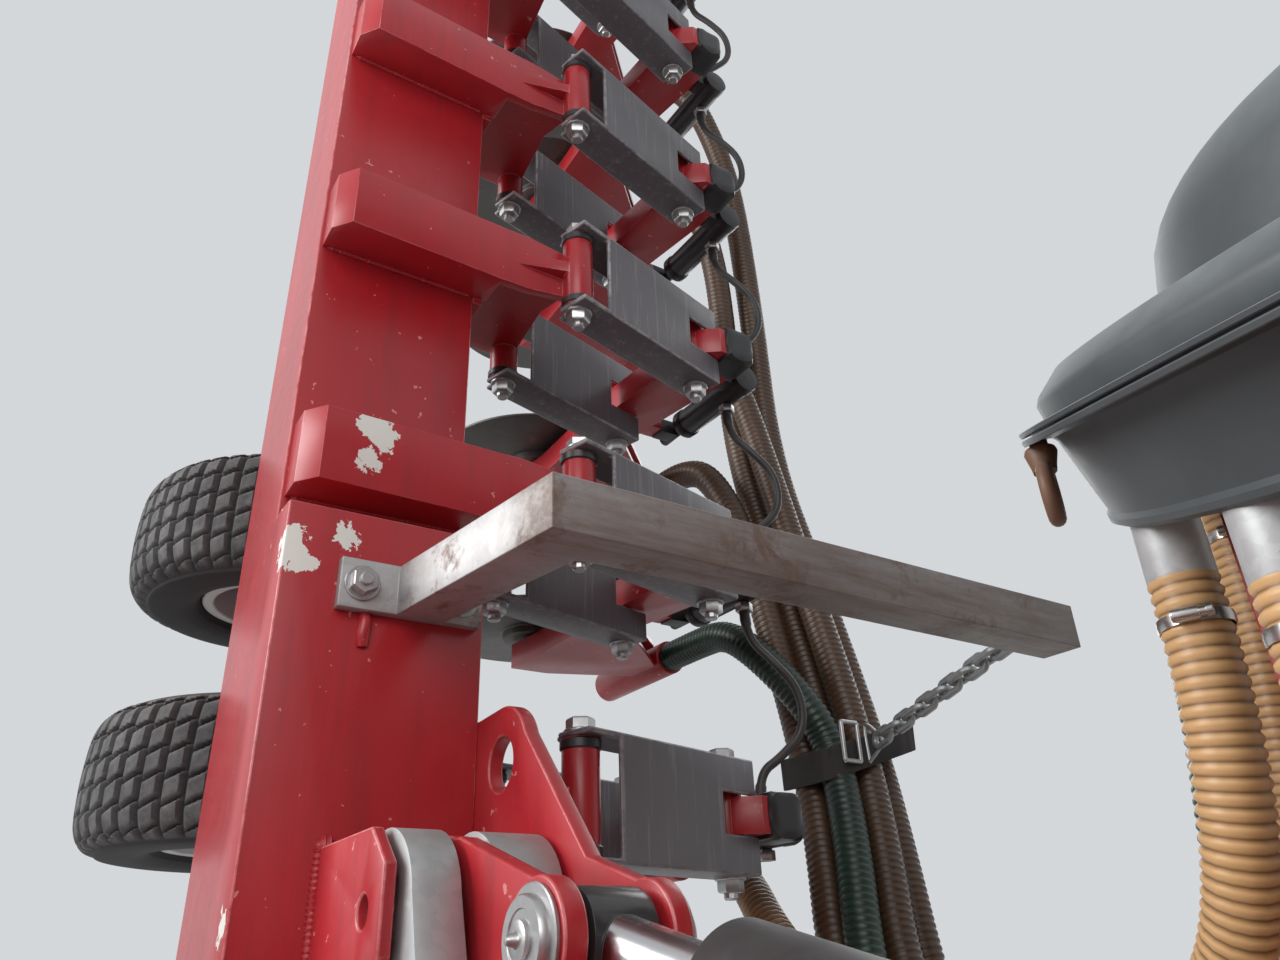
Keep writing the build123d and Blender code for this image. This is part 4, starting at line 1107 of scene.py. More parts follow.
@dataclass
class TurfTyre:
    """A turf tyre: a rounded section turned about the axle, with flat blocks raised on its crown.

    With u round the crown in blocks and v across it in blocks, a groove runs where u is whole, and
    another where v + slant (u - floor u) is whole, so that the blocks' ends are slanted. A block rises
    where both grooves are farther off than half their width.
    """

    s: float
    side: Side
    radius: float = 0.206
    lug: float = 0.0075
    groove: float = 0.0050
    slant: float = 0.42
    around: int = 46
    across: float = 0.0286
    tread: float = 0.086
    columns: int = 460
    step: float = 0.0026

    def section(self) -> tuple[np.ndarray, np.ndarray]:
        """The tyre's section, a smooth closed line at equal steps.

        Returns:
            Rows of (radius, place along the axle), and the distance across the crown from its middle.
        """
        r = self.radius
        half = [(0.1003, 0.0640), (0.1095, 0.0646), (0.1165, 0.0770), (0.1300, 0.0830), (r - 0.060, 0.0846),
                (r - 0.036, 0.0836), (r - 0.020, 0.0780), (r - 0.009, 0.0670), (r - 0.003, 0.0500),
                (r - 0.0008, 0.0250)]
        outline = [(a, -b) for a, b in half] + [(r, 0.0)] + [(a, b) for a, b in half[::-1]]
        curve = rounded(outline, 12)
        rows, along = even_path(np.column_stack([curve, np.zeros(len(curve))]), self.step)
        return rows[:, :2], along - along[-1] / 2

    def build(self) -> bpy.types.Object:
        """Makes the tyre on its wing's wheels.

        Returns:
            The piece.
        """
        rows, x = self.section()
        a = np.linspace(0, 2 * pi, self.columns, endpoint=False)
        u = a[None, :] * self.around / (2 * pi)
        v = x[:, None] / self.across
        pitch = 2 * pi * self.radius / self.around
        beside = np.abs((u + 0.5) % 1.0 - 0.5) * pitch + 0.0 * v
        behind = np.abs((v + self.slant * (u % 1.0 - 0.5)) % 1.0 - 0.5) * self.across
        near = np.minimum(beside - 0.0006, behind)
        top = smooth_step(self.groove / 2 - 0.0016, self.groove / 2 + 0.0010, near)
        top = top * (1.0 - smooth_step(self.tread - 0.004, self.tread, np.abs(x)))[:, None]
        inside = (1.0 - smooth_step(self.tread - 0.002, self.tread + 0.012, np.abs(x)))[:, None]
        rings = 0.0006 * np.cos(x * 2 * pi / 0.008)[:, None] * (np.abs(x) > self.tread + 0.01)[:, None]
        r = rows[:, :1] - self.lug * (1.0 - top) * inside + rings
        s = self.s + np.broadcast_to(rows[:, 1:2], r.shape)
        points = np.stack([s, WHEEL_Y + r * np.cos(a), WHEEL_N + r * np.sin(a)], axis=-1)
        batch = Batch()
        batch.add(points, grid(len(rows), self.columns, loop=True), top.ravel())
        number = WHEEL_PLACES.index(self.s) + 1
        return batch.put_in_section(f"tyre_{number}_{self.side.tag}", TYRE, f"wheels_{self.side.tag}",
                                    Place.WING, self.side, 50.0)


# Bolts, bushes and fittings of the coulter linkages

PIVOTS = ((0.220, 0.065), (0.208, -0.134), (0.455, 0.0), (0.443, -0.200))
LINK_HALF = 0.065
CYLINDER_Y = 0.572
PORT_N = -0.072


@dataclass
class Linkage:
    """The small parts of one boom section's coulters: bolts, bushes, port fittings, collars and caps."""

    place: Place
    side: Side
    units: list[float]
    body: str
    bolt_across: float = 0.027
    washer_radius: float = 0.0185
    head_height: float = 0.012
    nut_height: float = 0.013
    washer_to_tip: float = 0.015
    bush_hole: float = 0.0195
    bush_radius: float = 0.0222
    bush_back: float = 0.0185
    gland_n: float = -0.187
    cap_n: float = -0.035
    port_face: float = 0.0235
    cap_y: float = 0.509
    cap_half: tuple[float, float, float] = (0.0275, 0.0260, 0.0290)

    @property
    def tag(self) -> str:
        """The ending of this section's names."""
        return "centre" if self.place is Place.CENTRE else self.side.tag

    def put(self, batch: Batch, name: str, finish: Finish, smooth: float = 35.0) -> None:
        """Makes the piece of a batch in this section's frame, on its body."""
        batch.put_in_section(f"{name}_{self.tag}", finish, self.body, self.place, self.side, smooth)

    def pivots(self) -> None:
        """A bolt head above and a nut with its thread below each pivot, and a bush at both of its ends."""
        bolts, bushes = Batch(), Batch()
        tip = [(0.0, 0.0), (0.0085, 0.0), (0.0085, 0.007), (0.007, 0.009), (0.0, 0.009)]
        hole, r = self.bush_hole, self.bush_radius
        ring = [(hole, 0.0), (r - 0.0015, 0.0), (r, 0.0015), (r, 0.0095), (r - 0.0015, 0.011), (hole, 0.011),
                (hole, 0.0)]
        for s in self.units:
            for y, n in PIVOTS:
                for sign, height in ((1, self.head_height), (-1, self.nut_height)):
                    add_bolt(bolts, (s + sign * LINK_HALF, y, n), (sign, 0, 0), self.bolt_across,
                             self.washer_radius, height, 12)
                add_turned(bolts, tip, (s - LINK_HALF - self.washer_to_tip, y, n), (-1, 0, 0), 10)
                for sign in (1, -1):
                    inner = (s + sign * (LINK_HALF - self.bush_back), y, n)
                    add_turned(bushes, ring, inner, (sign, 0, 0), 20)
        self.put(bolts, "pivot_bolts", BOLT_STEEL)
        self.put(bushes, "pivot_bushes", BLACK)

    def fittings(self) -> None:
        """On each press cylinder a gland at its rod end, a cap at its other end and two hexagon fittings."""
        steel, black = Batch(), Batch()
        gland = [(0.0, 0.0), (0.0238, 0.0), (0.0246, 0.0012), (0.0246, 0.013), (0.0232, 0.015), (0.0, 0.015)]
        cap = [(0.0, 0.0), (0.0236, 0.0), (0.0236, 0.014), (0.0215, 0.0175), (0.0, 0.019)]
        nut = [(0.0, 0.0), (0.0102, 0.0), (0.0110, 0.0012), (0.0110, 0.0118), (0.0102, 0.013), (0.0, 0.013)]
        for s in self.units:
            add_turned(black, gland, (s, CYLINDER_Y, self.gland_n), (0, 0, 1), 28)
            add_turned(black, cap, (s, CYLINDER_Y, self.cap_n), (0, 0, 1), 28)
            for sign in (1, -1):
                port = (s + sign * self.port_face, CYLINDER_Y, PORT_N)
                add_turned(steel, nut, port, (sign, 0, 0), 24, corner=hexagon)
        self.put(steel, "port_fittings", BOLT_STEEL)
        self.put(black, "cylinder_collars", BLACK)

    def noses(self) -> None:
        """The black cap over each carrier's nose: a superellipsoid box, |x|^e + |y|^e + |z|^e = 1."""
        batch = Batch()
        for s in self.units:
            add_cushioned(batch, (s, self.cap_y, 0.020), self.cap_half)
        self.put(batch, "nose_caps", BLACK, 40.0)


# Distributor


@dataclass
class Distributor:
    """The looks of the leaning distributor: casing, double rim, outlets, eye nuts and hose clamps."""

    rim: float = 0.450
    strip: float = 0.0045
    gap: float = 0.0030
    rim_top: float = 0.012
    wall_top: float = 0.424
    wall_low: float = 0.417
    dome_step: float = 0.036
    dome_height: float = 0.120
    stub: float = 0.0245
    clamp_radius: float = 0.0262
    clamp_drop: float = 0.038
    eye_inset: float = 0.0125
    eye_drop: float = 0.052
    eye_ring: float = 0.0215
    eye_wire: float = 0.0068
    eyes: tuple[float, ...] = (-6.0, -62.0, 62.0, 118.0, -118.0, 180.0)

    def build(self) -> None:
        """Makes all its pieces."""
        self.casing()
        self.lid()
        self.outlets()
        self.clamps()
        self.eye_nuts()

    def turned(self, batch: Batch, profile: Sequence[tuple[float, float]], sides: int = 160) -> None:
        """Adds a turned shape in the distributor's own frame.

        Args:
            batch: Where it goes.
            profile: Radius and height along the axis.
            sides: Points round the axis.
        """
        part = Batch()
        add_turned(part, profile, (0, 0, 0), (0, 0, 1), sides)
        batch.add(leaning(part.points[0]), part.faces[0])

    def casing(self) -> None:
        """A slightly tapered wall under the rim, with a rolled lip at its floor."""
        batch = Batch()
        low, foot, wall, rim = -CASING_DROP, self.wall_low, self.wall_top, self.rim
        a, b, top = self.strip, self.strip + self.gap, self.rim_top
        self.turned(batch, [
            (0.0, low + 0.012), (foot - 0.030, low + 0.012), (foot - 0.016, low + 0.008), (foot - 0.010, low),
            (foot - 0.002, low - 0.001), (foot + 0.003, low + 0.003), (foot + 0.003, low + 0.008),
            (foot, low + 0.012), (wall, -0.008), (wall + 0.003, -0.003), (wall + 0.012, 0.0),
            (rim - 0.001, 0.0), (rim, 0.001), (rim, a), (rim - 0.001, a + 0.001), (rim - 0.010, a + 0.001),
            (rim - 0.010, b), (rim - 0.002, b), (rim - 0.001, b + 0.001), (rim - 0.001, top - 0.0005),
            (rim - 0.002, top), (0.0, top)])
        piece = batch.put("distributor_casing", DISTRIBUTOR, "frame")
        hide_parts("distributor_housing")

    def lid(self) -> None:
        """The low domed lid with a rolled foot and pressed steps."""
        batch = Batch()
        z, step, height = self.rim_top, self.rim_top + self.dome_step, self.dome_height
        dome = [(0.300 - 0.18 * t, step + height * (1 - (1 - t) ** 2) ** 0.5) for t in np.linspace(0, 1, 14)]
        foot = [(0.0, z), (0.425, z), (0.425, z + 0.014), (0.421, z + 0.020), (0.398, step - 0.001),
                (0.392, step), (0.306, step)]
        self.turned(batch, foot + dome[1:] + [(0.0, step + height)])
        piece = batch.put("distributor_cover", DISTRIBUTOR, "frame")
        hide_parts("distributor_lid")

    def outlets(self) -> None:
        """A galvanised stub under the floor for each hose, its end eased."""
        batch = Batch()
        r, top = self.stub, OUTLET_L + 0.030
        wall = [(r - 0.002, top), (r - 0.002, 0.002), (r - 0.0005, 0.0), (r, 0.001), (r, top),
                (r - 0.002, top)]
        for k in range(OUTLETS):
            add_turned(batch, wall, outlet_mouth(k), (0, 0, 1), 28)
        batch.put("distributor_outlets", STUB_ZINC, "frame")

    def clamps(self) -> None:
        """A worm-drive clamp on each hose, a little below its outlet: a band and its screw."""
        batch = Batch()
        r = self.clamp_radius
        band = [(r - 0.001, 0.0), (r, 0.0), (r + 0.0004, 0.0045), (r, 0.009), (r - 0.001, 0.009),
                (r - 0.001, 0.0)]
        screw = [(0.0, -0.011), (0.0048, -0.011), (0.0052, -0.009), (0.0052, 0.007), (0.0038, 0.008),
                 (0.0038, 0.012), (0.0055, 0.0125), (0.0055, 0.0165), (0.0, 0.0170)]
        for side in Side:
            way = np.array([-side.value * 0.35, -1.0, 0.0])
            way /= np.linalg.norm(way)
            across = np.array([-way[1], way[0], 0.0])
            for k in [*CENTRE_OUTLETS, *WING_OUTLETS]:
                x, y, z = outlet_mouth(k)
                at = np.array([x * side.value, y, z - self.clamp_drop])
                add_turned(batch, band, at, (0, 0, 1), 28)
                add_turned(batch, screw, at + way * (r + 0.0045) + np.array([0, 0, 0.0045]), across, 12)
        batch.put("hose_clamps", CLAMP_STEEL, "frame")

    def eye_nuts(self) -> None:
        """Rusty lifting eyes that hang at the rim: a collar and under it a ring.

        The ring is R away + r (away cos b + out sin b), where away goes round it and out is square to it.
        """
        batch = Batch()
        collar = [(0.0, 0.0), (0.0075, 0.0), (0.0075, 0.010), (0.0125, 0.011), (0.0135, 0.014),
                  (0.0105, 0.026), (0.0095, 0.032), (0.0, 0.032)]
        a = np.linspace(0, 2 * pi, 36, endpoint=False)[:, None, None]
        b = np.linspace(0, 2 * pi, 14, endpoint=False)[None, :, None]
        hang = self.rim - self.eye_inset
        for degrees in self.eyes:
            turn = radians(degrees)
            at = leaning(np.array([hang * sin(turn), -hang * cos(turn), 0.002]))
            out = np.array([sin(turn), -cos(turn), 0.0])
            add_turned(batch, collar, at, (0, 0, -1), 20)
            away = np.cos(a) * np.array([out[1], -out[0], 0.0]) + np.sin(a) * np.array([0, 0, 1.0])
            wire = self.eye_wire * (away * np.cos(b) + out * np.sin(b))
            middle = at - np.array([0, 0, self.eye_drop])
            batch.add(middle + self.eye_ring * away + wire, grid(36, 14, loop=True))
        batch.put("lifting_eyes", RUSTY, "frame", 60.0)


# Wing boom trim


@dataclass
class BoomTrim:
    """Weld beads, the hose bar's foot bolts and the crank pin's heads of one wing's boom."""

    side: Side
    half_depth: float = 0.100
    sleeve_end: float = 0.371
    sleeve_height: float = 0.075
    cheek_roots: tuple[tuple[float, float], ...] = ((0.020, 0.037), (-0.040, -0.030))
    foot_top: float = 0.087
    foot_s: float = 0.293
    foot_bolts: tuple[float, float] = (-0.031, 0.070)
    lug: tuple[float, float, float, float] = (-0.056, 0.056, -0.040, -0.030)
    crank: tuple[float, float] = (-0.026, 0.355)
    crank_faces: tuple[tuple[float, int], ...] = ((0.020, -1), (0.115, 1))
    band_half: float = 0.0425

    def build(self) -> None:
        """Makes the beads, the bolts and the pin heads."""
        self.beads()
        self.bolts()
        self.pin_heads()

    def put(self, batch: Batch, name: str, finish: Finish, smooth: float = 35.0) -> None:
        """Makes the piece of a batch in this wing's frame."""
        batch.put_in_section(f"{name}_{self.side.tag}", finish, f"wing_{self.side.tag}", Place.WING,
                             self.side, smooth)

    def beads(self) -> None:
        """Weld beads at the sleeve's end, the cheeks' and the lug's roots and both sides of each band."""
        beads = Batch()
        d, e, h = self.half_depth, self.sleeve_end, self.sleeve_height
        add_bead(beads, [(e, -d + 0.002, 0.001), (e, d - 0.002, 0.001)], 0.0045, 3)
        add_bead(beads, [(e, -d - 0.001, 0.004), (e, -d - 0.001, h - 0.004)], 0.0035, 4)
        for y0, y1 in self.cheek_roots:
            for y, seed in ((y0, 5), (y1, 6)):
                add_bead(beads, [(-0.052, y, h), (0.044, y, h)], 0.0045, seed)
        for s in WING_UNITS[1:]:
            for sign in (-1, 1):
                at = s + sign * self.band_half
                add_bead(beads, [(at, -d + 0.010, 0.0005), (at, d - 0.004, 0.0005)], 0.0035,
                         int(s * 100) + sign)
        s0, s1, y0, y1 = self.lug
        for y, seed in ((y0, 7), (y1, 8)):
            add_bead(beads, [(s0, y, h), (s1 + 0.004, y, h)], 0.0050, seed)
        add_bead(beads, [(s1 + 0.003, y0 - 0.004, h), (s1 + 0.003, y1 + 0.004, h)], 0.0085, 9)
        drip = rounded([(0.268, -0.0225, h - 0.001), (0.259, -0.0215, h + 0.0015),
                        (0.247, -0.0225, h + 0.001), (0.236, -0.0215, h - 0.001)], 8)
        add_tube(beads, drip, 0.0045 + 0.0025 * np.sin(np.linspace(0.3, 2.6, len(drip))), 12)
        self.put(beads, "weld_beads", RED, 50.0)

    def bolts(self) -> None:
        """The hose bar's foot bolts, each with its thread's end."""
        bolts = Batch()
        for y in self.foot_bolts:
            add_bolt(bolts, (self.foot_s, y, self.foot_top), (0, 0, 1), 0.024, 0.0175, 0.011)
            add_turned(bolts, [(0.0, 0.0), (0.0065, 0.0), (0.0065, 0.0035), (0.0055, 0.0045), (0.0, 0.0045)],
                       (self.foot_s, y, self.foot_top + 0.0135), (0, 0, 1), 16)
        self.put(bolts, "foot_bolts", BOLT_STEEL)

    def pin_heads(self) -> None:
        """The crank pin's heads: a washer, a ring with a groove, a hub and a grease nipple."""
        heads = Batch()
        cap = [(0.0255, 0.0004), (0.0335, 0.0004), (0.0340, 0.0012), (0.0340, 0.0032), (0.0330, 0.0040),
               (0.0272, 0.0042), (0.0268, 0.0090), (0.0255, 0.0106), (0.0185, 0.0106), (0.0178, 0.0096),
               (0.0125, 0.0096), (0.0120, 0.0128), (0.0108, 0.0136), (0.0052, 0.0136), (0.0042, 0.0150),
               (0.0036, 0.0185), (0.0022, 0.0205), (0.0, 0.0208)]
        for y, sign in self.crank_faces:
            add_turned(heads, cap, (self.crank[0], y, self.crank[1]), (0, sign, 0), 40)
        self.put(heads, "crank_pin_heads", BOLT_STEEL)


@dataclass
class Strap:
    """The webbing round a wing's hose bundle: a band whose loop is a superellipse, pulled to one corner.

    Its middle line is (a |cos t|^k, b |sin t|^k) with their signs, and small folds, sin of
    several turns, run along it.
    """

    side: Side
    middle: tuple[float, float] = (0.789, -0.117)
    half: tuple[float, float] = (0.0965, 0.0685)
    centre_s: float = 0.238
    width: float = 0.044
    thickness: float = 0.0034
    slant: float = 0.030
    power: float = 0.50
    steps: int = 180
    wire: float = 0.0026
    buckle_wire: float = 0.0034
    buckle_half: float = 0.027
    buckle_from: float = -0.052
    buckle_to: float = -0.022

    def build(self) -> None:
        """Makes the band, and the buckle with its wire triangle."""
        self.band()
        self.buckle()

    def band(self) -> None:
        """The closed band: its outer face's rows, then its inner face's, round the loop."""
        t = np.linspace(0, 2 * pi, self.steps, endpoint=False)
        y = self.half[0] * np.sign(np.cos(t)) * np.abs(np.cos(t)) ** self.power
        n = self.half[1] * np.sign(np.sin(t)) * np.abs(np.sin(t)) ** self.power
        mid = np.stack([np.zeros_like(t), y, n], axis=1)
        line = np.roll(mid, -1, axis=0) - np.roll(mid, 1, axis=0)
        line /= np.linalg.norm(line, axis=1, keepdims=True)
        out = np.cross(line, np.array([1.0, 0.0, 0.0]))
        out *= np.sign(np.sum(out * mid, axis=1, keepdims=True))
        fold = 0.0016 * np.sin(t * 9.0) + 0.0011 * np.sin(t * 23.0 + 1.0)
        across = np.array([-1.0, -0.94, -0.5, 0.0, 0.5, 0.94, 1.0])
        rows = []
        for face, order in ((0.5, across), (-0.5, across[::-1])):
            for v in order:
                edge = 0.6 if abs(v) == 1.0 else 1.0
                lift = face * self.thickness * edge + fold * (0.6 + 0.4 * v)
                s = self.centre_s + v * self.width / 2 + self.slant * y / self.half[0]
                rows.append(np.stack([s, 0 * t, 0 * t], axis=1) + mid + out * lift[:, None])
        points = np.stack(rows)
        points[..., 1] += self.middle[0]
        points[..., 2] += self.middle[1]
        band = Batch()
        band.add(points, grid(len(points), self.steps, loop=True))
        piece = band.put_in_section(f"strap_webbing_{self.side.tag}", WEBBING, f"wing_{self.side.tag}",
                                    Place.WING, self.side, 60.0)
        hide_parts(f"hose_strap_{self.side.tag}")

    def buckle(self) -> None:
        """The wire triangle that the chain hooks into, and a buckle of four straight wires beside it."""
        steel = Batch()
        s, top, h = self.centre_s, self.middle[1] + self.half[1], self.buckle_half
        eye = np.array([s, self.middle[0] - 0.0285, top + 0.018])
        left, right = (np.array([s + ds, eye[1] - 0.004, top + 0.003]) for ds in (-0.026, 0.026))
        loop = rounded([left, right, eye + [0.006, 0, 0.008], eye + [-0.006, 0, 0.008], left], 10)
        add_tube(steel, loop, self.wire, 10)
        low, high = eye[1] + self.buckle_from, eye[1] + self.buckle_to
        for (s0, y0), (s1, y1) in (((s - h, low), (s + h, low)), ((s - h, high), (s + h, high)),
                                   ((s - h, low), (s - h, high)), ((s + h, low), (s + h, high))):
            line, _ = even_path(np.array([(s0, y0, top + 0.004), (s1, y1, top + 0.004)]), 0.004)
            add_tube(steel, line, self.buckle_wire, 10)
        steel.put_in_section(f"strap_buckle_{self.side.tag}", BOLT_STEEL, f"wing_{self.side.tag}",
                             Place.WING, self.side, 50.0)


# Thin oil hoses of a wing in millimetres: S below the upper unit, Y behind the cylinders' axes
# and Z above the ports
OIL_ROUTE = [(36, 0, 0), (74, 0, 0), (112, 26, 22), (150, 58, 34), (205, 64, 30), (242, 30, 16), (264, 0, 0),
             (300, 0, 0)]


@dataclass
class OilHoses:
    """The thin hoses from one press cylinder's port down to the next, with crimped ends."""

    side: Side
    radius: float = 0.006

    def build(self) -> None:
        """Makes a wing's oil hoses."""
        route = np.array(OIL_ROUTE) / 1000
        for k, s in enumerate(WING_UNITS[1:]):
            control = np.array([s, CYLINDER_Y, PORT_N]) + route * [-1, 1, 1]
            name = f"oil_hose_{k + 1}_{self.side.tag}"
            line = smooth_line(name + "_line", in_section(control, Place.WING, self.side))
            path, along = even_path(line, 0.004)
            batch = Batch()
            ends = np.minimum(along, along[-1] - along)
            crimp = 1.0 - smooth_step(0.022, 0.0235, ends)
            groove = 0.06 * (np.abs((ends - 0.006) % 0.006 - 0.003) < 0.0011)
            add_tube(batch, path, self.radius * (1.0 + crimp * (0.32 - groove)), 14, along)
            piece = batch.put(name, OIL_HOSE, f"wing_{self.side.tag}", 50.0)
        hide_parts(f"oil_hoses_{self.side.tag}")


# Slurry hoses from under their outlets on, in millimetres and before the shift: six to a
# wing's coulters, lowest first, and two to the centre's

WING_ROUTES = [
    [(368, 458, 945), (462, 516, 902), (610, 562, 866), (780, 588, 862), (915, 584, 915),
     (1030, 600, 995), (1125, 640, 1070), (1225, 670, 1115), (1325, 670, 1115)],
    [(437, 575, 905), (530, 600, 815), (650, 612, 765), (790, 622, 775), (885, 636, 850),
     (932, 660, 960), (972, 704, 1100), (1016, 734, 1235), (1032, 700, 1310), (1085, 665, 1390),
     (1150, 660, 1440), (1225, 670, 1451), (1325, 670, 1451)],
    [(430, 690, 890), (530, 700, 795), (660, 700, 735), (810, 692, 745), (925, 676, 820),
     (987, 664, 950), (1029, 704, 1100), (1074, 732, 1250), (1124, 732, 1450), (1146, 722, 1590),
     (1170, 690, 1715), (1225, 670, 1787), (1325, 670, 1787)],
    [(372, 850, 870), (470, 830, 760), (610, 800, 700), (760, 768, 705), (870, 738, 790),
     (930, 720, 940), (972, 761, 1100), (1016, 789, 1250), (1092, 785, 1550), (1145, 772, 1800),
     (1158, 745, 1930), (1172, 700, 2045), (1225, 670, 2123), (1325, 670, 2123)],
    [(265, 945, 850), (370, 920, 735), (510, 880, 665), (670, 842, 645), (820, 800, 690),
     (932, 755, 795), (987, 724, 950), (1028, 761, 1100), (1073, 789, 1250), (1148, 785, 1550),
     (1212, 770, 1824), (1212, 765, 2140), (1195, 742, 2270), (1182, 700, 2380), (1225, 670, 2459),
     (1325, 670, 2459)],
    [(120, 1000, 850), (215, 962, 735), (345, 925, 645), (495, 893, 592), (655, 872, 572),
     (815, 848, 600), (925, 828, 720), (958, 798, 930), (1000, 822, 1100), (1044, 846, 1250),
     (1120, 842, 1550), (1186, 826, 1824), (1186, 822, 2160), (1188, 806, 2480), (1180, 762, 2610),
     (1178, 705, 2717), (1225, 670, 2795), (1325, 670, 2795)],
]
CENTRE_ROUTES = [
    [(84, 300, 930), (97, 380, 885), (115, 480, 865), (135, 590, 830), (158, 655, 735),
     (168, 670, 600), (168, 670, 400)],
    [(245, 375, 940), (300, 445, 865), (375, 540, 815), (445, 615, 735), (490, 660, 630),
     (504, 670, 520), (504, 670, 400)],
]
WING_OUTLETS = range(2, 8)
CENTRE_OUTLETS = range(2)
HOSE_DROP = 0.110


@dataclass
class RibbedHose:
    """One corrugated slurry hose: a tube whose rings go rib, rib, valley, so its ribs are the broader."""

    name: str
    outlet: int
    route: list[tuple[float, float, float]]
    side: Side
    finish: Finish
    radius: float = 0.0250
    rib: float = 0.0022
    pitch: float = 0.0096
    sides: int = 14

    def line(self) -> np.ndarray:
        """The hose's smooth middle line, straight down from its outlet and then along its route.

        Returns:
            Rows of points.
        """
        mouth = outlet_mouth(self.outlet)
        route = np.array(self.route, dtype=float) / 1000.0 + np.array([0.0, SHIFT_Y, 0.0])
        control = np.concatenate([[mouth, mouth - np.array([0.0, 0.0, HOSE_DROP])], route])
        control[:, 0] *= self.side.value
        return smooth_line(self.name + "_line", control)

    def build(self, body: str | None) -> tuple[bpy.types.Object, np.ndarray, float]:
        """Makes the hose.

        Args:
            body: The body it rides on, or None, where it rides on no body.

        Returns:
            The piece, its path and its length.
        """
        path, along = even_path(self.line(), self.pitch / 3)
        valley = np.where(np.arange(len(path)) % 3 == 2, self.rib, 0.0)
        batch = Batch()
        # The valleys go into the edge attribute, where the hose finish paints shade.
        add_tube(batch, path, self.radius - valley, self.sides, along / 3.6, valley / self.rib)
        piece = batch.put(self.name, self.finish, body, 80.0)
        return piece, path, float(along[-1])


@dataclass
class SlurryHoses:
    """All slurry hoses of the machine, one on each wing green."""

    green: int = 1
    wing_from: float = 0.925

    def build(self) -> None:
        for side in Side:
            for k, (outlet, route) in enumerate(zip(WING_OUTLETS, WING_ROUTES)):
                finish = GREEN_HOSE if k == self.green else AMBER_HOSE
                hose = RibbedHose(f"wing_hose_{k + 1}_{side.tag}", outlet, route, side, finish)
                piece, path, length = hose.build(None)
                f"wing_{side.tag}"
                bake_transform(piece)
            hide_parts(f"wing_hoses_{side.tag}")
        for side in Side:
            for k, (outlet, route) in enumerate(zip(CENTRE_OUTLETS, CENTRE_ROUTES)):
                hose = RibbedHose(f"centre_hose_{k + 1}_{side.tag}", outlet, route, side, AMBER_HOSE)
                piece, path, length = hose.build("frame")
        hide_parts("centre_hoses")


# Studio


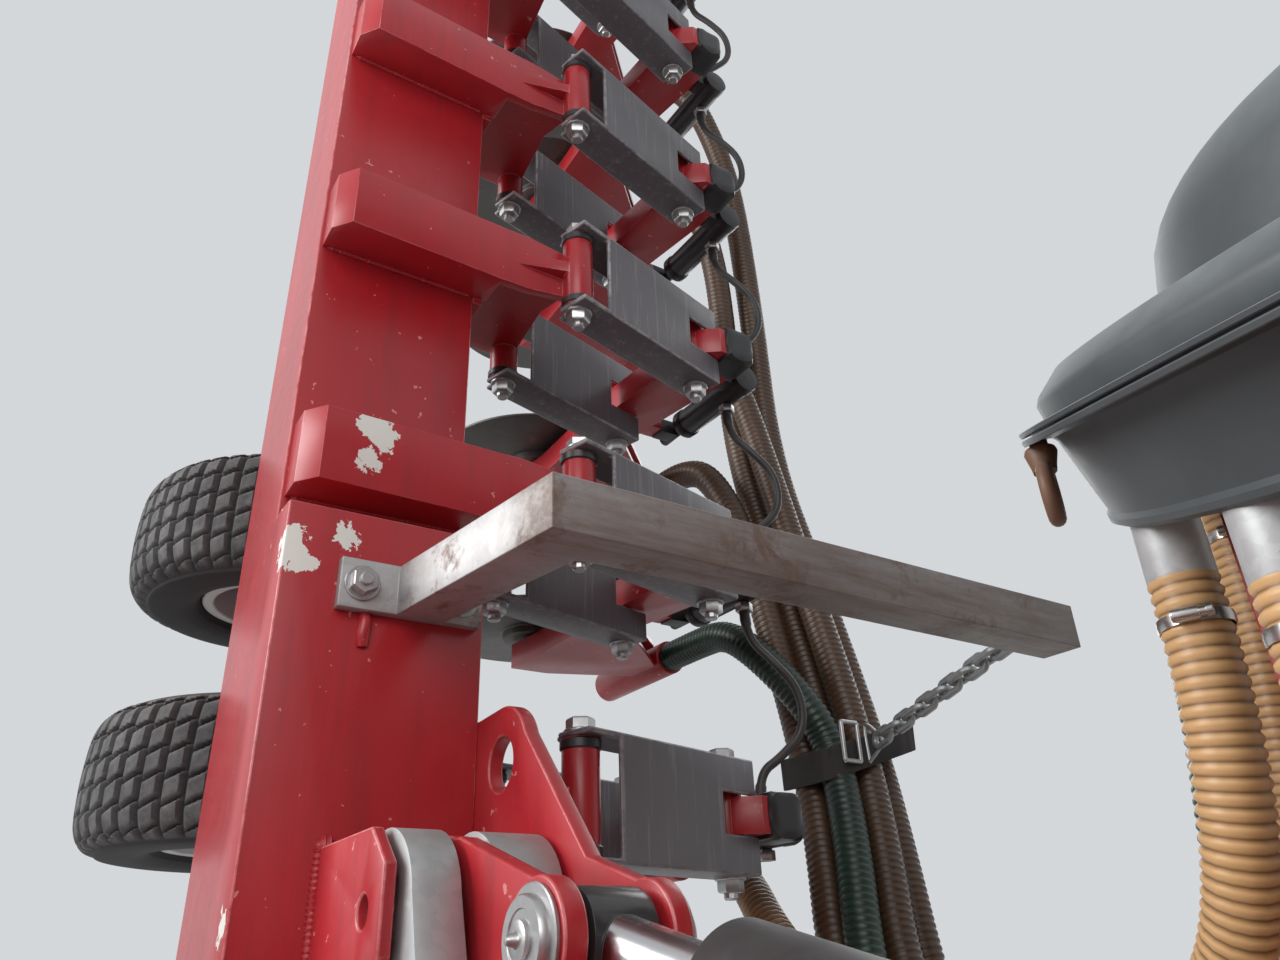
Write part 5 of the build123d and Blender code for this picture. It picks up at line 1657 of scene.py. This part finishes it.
class Studio:
    """Pale floor, soft light and the camera at the photograph's angle."""

    CAMERA_AT = (0.018, -0.525, 0.951)
    HEADING = (-0.829, 0.559)
    PITCH = 27.4
    ROLL = -2.2
    LENS = 27.0
    BACKDROP = (0.66, 0.68, 0.70)

    def build(self) -> None:
        """Makes floor, world, lamps and camera."""
        self.floor()
        self.world()
        self.lamp("key_lamp", (-2.0, -3.2, 2.7), (-0.9, -0.1, 1.5), 120.0, 2.2)
        self.lamp("side_lamp", (1.6, -1.9, 2.6), (-0.9, 0.0, 1.5), 42.0, 2.0)
        self.lamp("rear_lamp", (-2.6, 3.4, 3.4), (-0.9, 0.2, 1.4), 60.0, 3.0)
        self.camera()

    def floor(self) -> None:
        """A wide pale floor."""
        mesh = bpy.data.meshes.new("floor")
        mesh.from_pydata([(-9, -9, 0), (9, -9, 0), (9, 9, 0), (-9, 9, 0)], [], [(0, 1, 2, 3)])
        floor = bpy.data.objects.new("floor", mesh)
        bpy.context.scene.collection.objects.link(floor)
        material = bpy.data.materials.new("floor_pale")
        material.use_nodes = True
        shader = material.node_tree.nodes["Principled BSDF"]
        shader.inputs["Base Color"].default_value = (0.60, 0.60, 0.59, 1.0)
        shader.inputs["Roughness"].default_value = 0.9
        mesh.materials.append(material)

    def world(self) -> None:
        """Even pale light, and the backdrop's colour for the camera and in reflections."""
        world = bpy.data.worlds.new("studio")
        world.use_nodes = True
        t = Tree(world.node_tree)
        t.tree.nodes.clear()
        path = t.add("ShaderNodeLightPath")
        seen = t.math("MAXIMUM", path.outputs["Is Camera Ray"], path.outputs["Is Transmission Ray"])
        seen = t.math("MAXIMUM", seen, path.outputs["Is Glossy Ray"])
        light = t.add("ShaderNodeBackground", {"Color": (0.93, 0.96, 1.0, 1.0), "Strength": 0.46})
        back = t.add("ShaderNodeBackground", {"Color": rgba(self.BACKDROP), "Strength": 1.0})
        mix = t.add("ShaderNodeMixShader", {0: seen, 1: light.outputs[0], 2: back.outputs[0]})
        t.tree.links.new(mix.outputs[0], t.add("ShaderNodeOutputWorld").inputs[0])
        bpy.context.scene.world = world

    def lamp(self, name: str, at: Sequence[float], to: Sequence[float], power: float, size: float) -> None:
        """An area lamp that looks at a point.

        Args:
            name: The lamp's name.
            at: Where it stands.
            to: The point.
            power: Its power in watts.
            size: Its width in metres.
        """
        data = bpy.data.lights.new(name, "AREA")
        data.energy, data.size = power, size
        lamp = bpy.data.objects.new(name, data)
        lamp.location = at
        lamp.rotation_euler = (Vector(to) - Vector(at)).to_track_quat("-Z", "Y").to_euler()
        bpy.context.scene.collection.objects.link(lamp)

    def camera(self) -> None:
        """The camera: heading and pitch give its forward, and it rolls about that."""
        pitch, roll = radians(self.PITCH), radians(self.ROLL)
        level_x, level_y = self.HEADING
        forward = Vector((level_x * cos(pitch), level_y * cos(pitch), sin(pitch))).normalized()
        level = forward.cross(Vector((0, 0, 1))).normalized()
        up = level.cross(forward)
        right = level * cos(roll) + up * sin(roll)
        up = up * cos(roll) - level * sin(roll)
        data = bpy.data.cameras.new("camera")
        data.lens, data.sensor_width, data.clip_start = self.LENS, 36.0, 0.02
        camera = bpy.data.objects.new("camera", data)
        turn = Matrix((right, up, -forward)).transposed().to_4x4()
        camera.matrix_world = Matrix.Translation(self.CAMERA_AT) @ turn
        bpy.context.scene.collection.objects.link(camera)
        bpy.context.scene.camera = camera


def main() -> None:
    """Builds the machine's looks piece by piece."""
    logging.basicConfig(level=logging.INFO, format="%(name)s: %(message)s")
    made_otherwise = ("_hoses", "_hoses_right", "_hoses_left", "tyres_right", "tyres_left",
                      "distributor_housing", "distributor_lid", "hose_strap_right", "hose_strap_left")
    for node in frame["nodes"]:
        if not node.endswith(made_otherwise):
            EasedNode(node, FINISH_OF_NODE.get(node, FINISH_OF_SLOT[SLOT_OF[node]])).build()
    for side in Side:
        tyres = [TurfTyre(s, side).build() for s in WHEEL_PLACES]
        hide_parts(f"tyres_{side.tag}")
        wing = Linkage(Place.WING, side, WING_UNITS, f"wing_{side.tag}")
        wing.pivots()
        wing.fittings()
        wing.noses()
        OilHoses(side).build()
        BoomTrim(side).build()
        Strap(side).build()
    centre = Linkage(Place.CENTRE, Side.RIGHT, CENTRE_UNITS, "frame")
    centre.pivots()
    centre.fittings()
    centre.noses()
    Distributor().build()
    SlurryHoses().build()
    Studio().build()
    bpy.context.scene.view_settings.view_transform = "Standard"


if __name__ == "__main__":
    main()
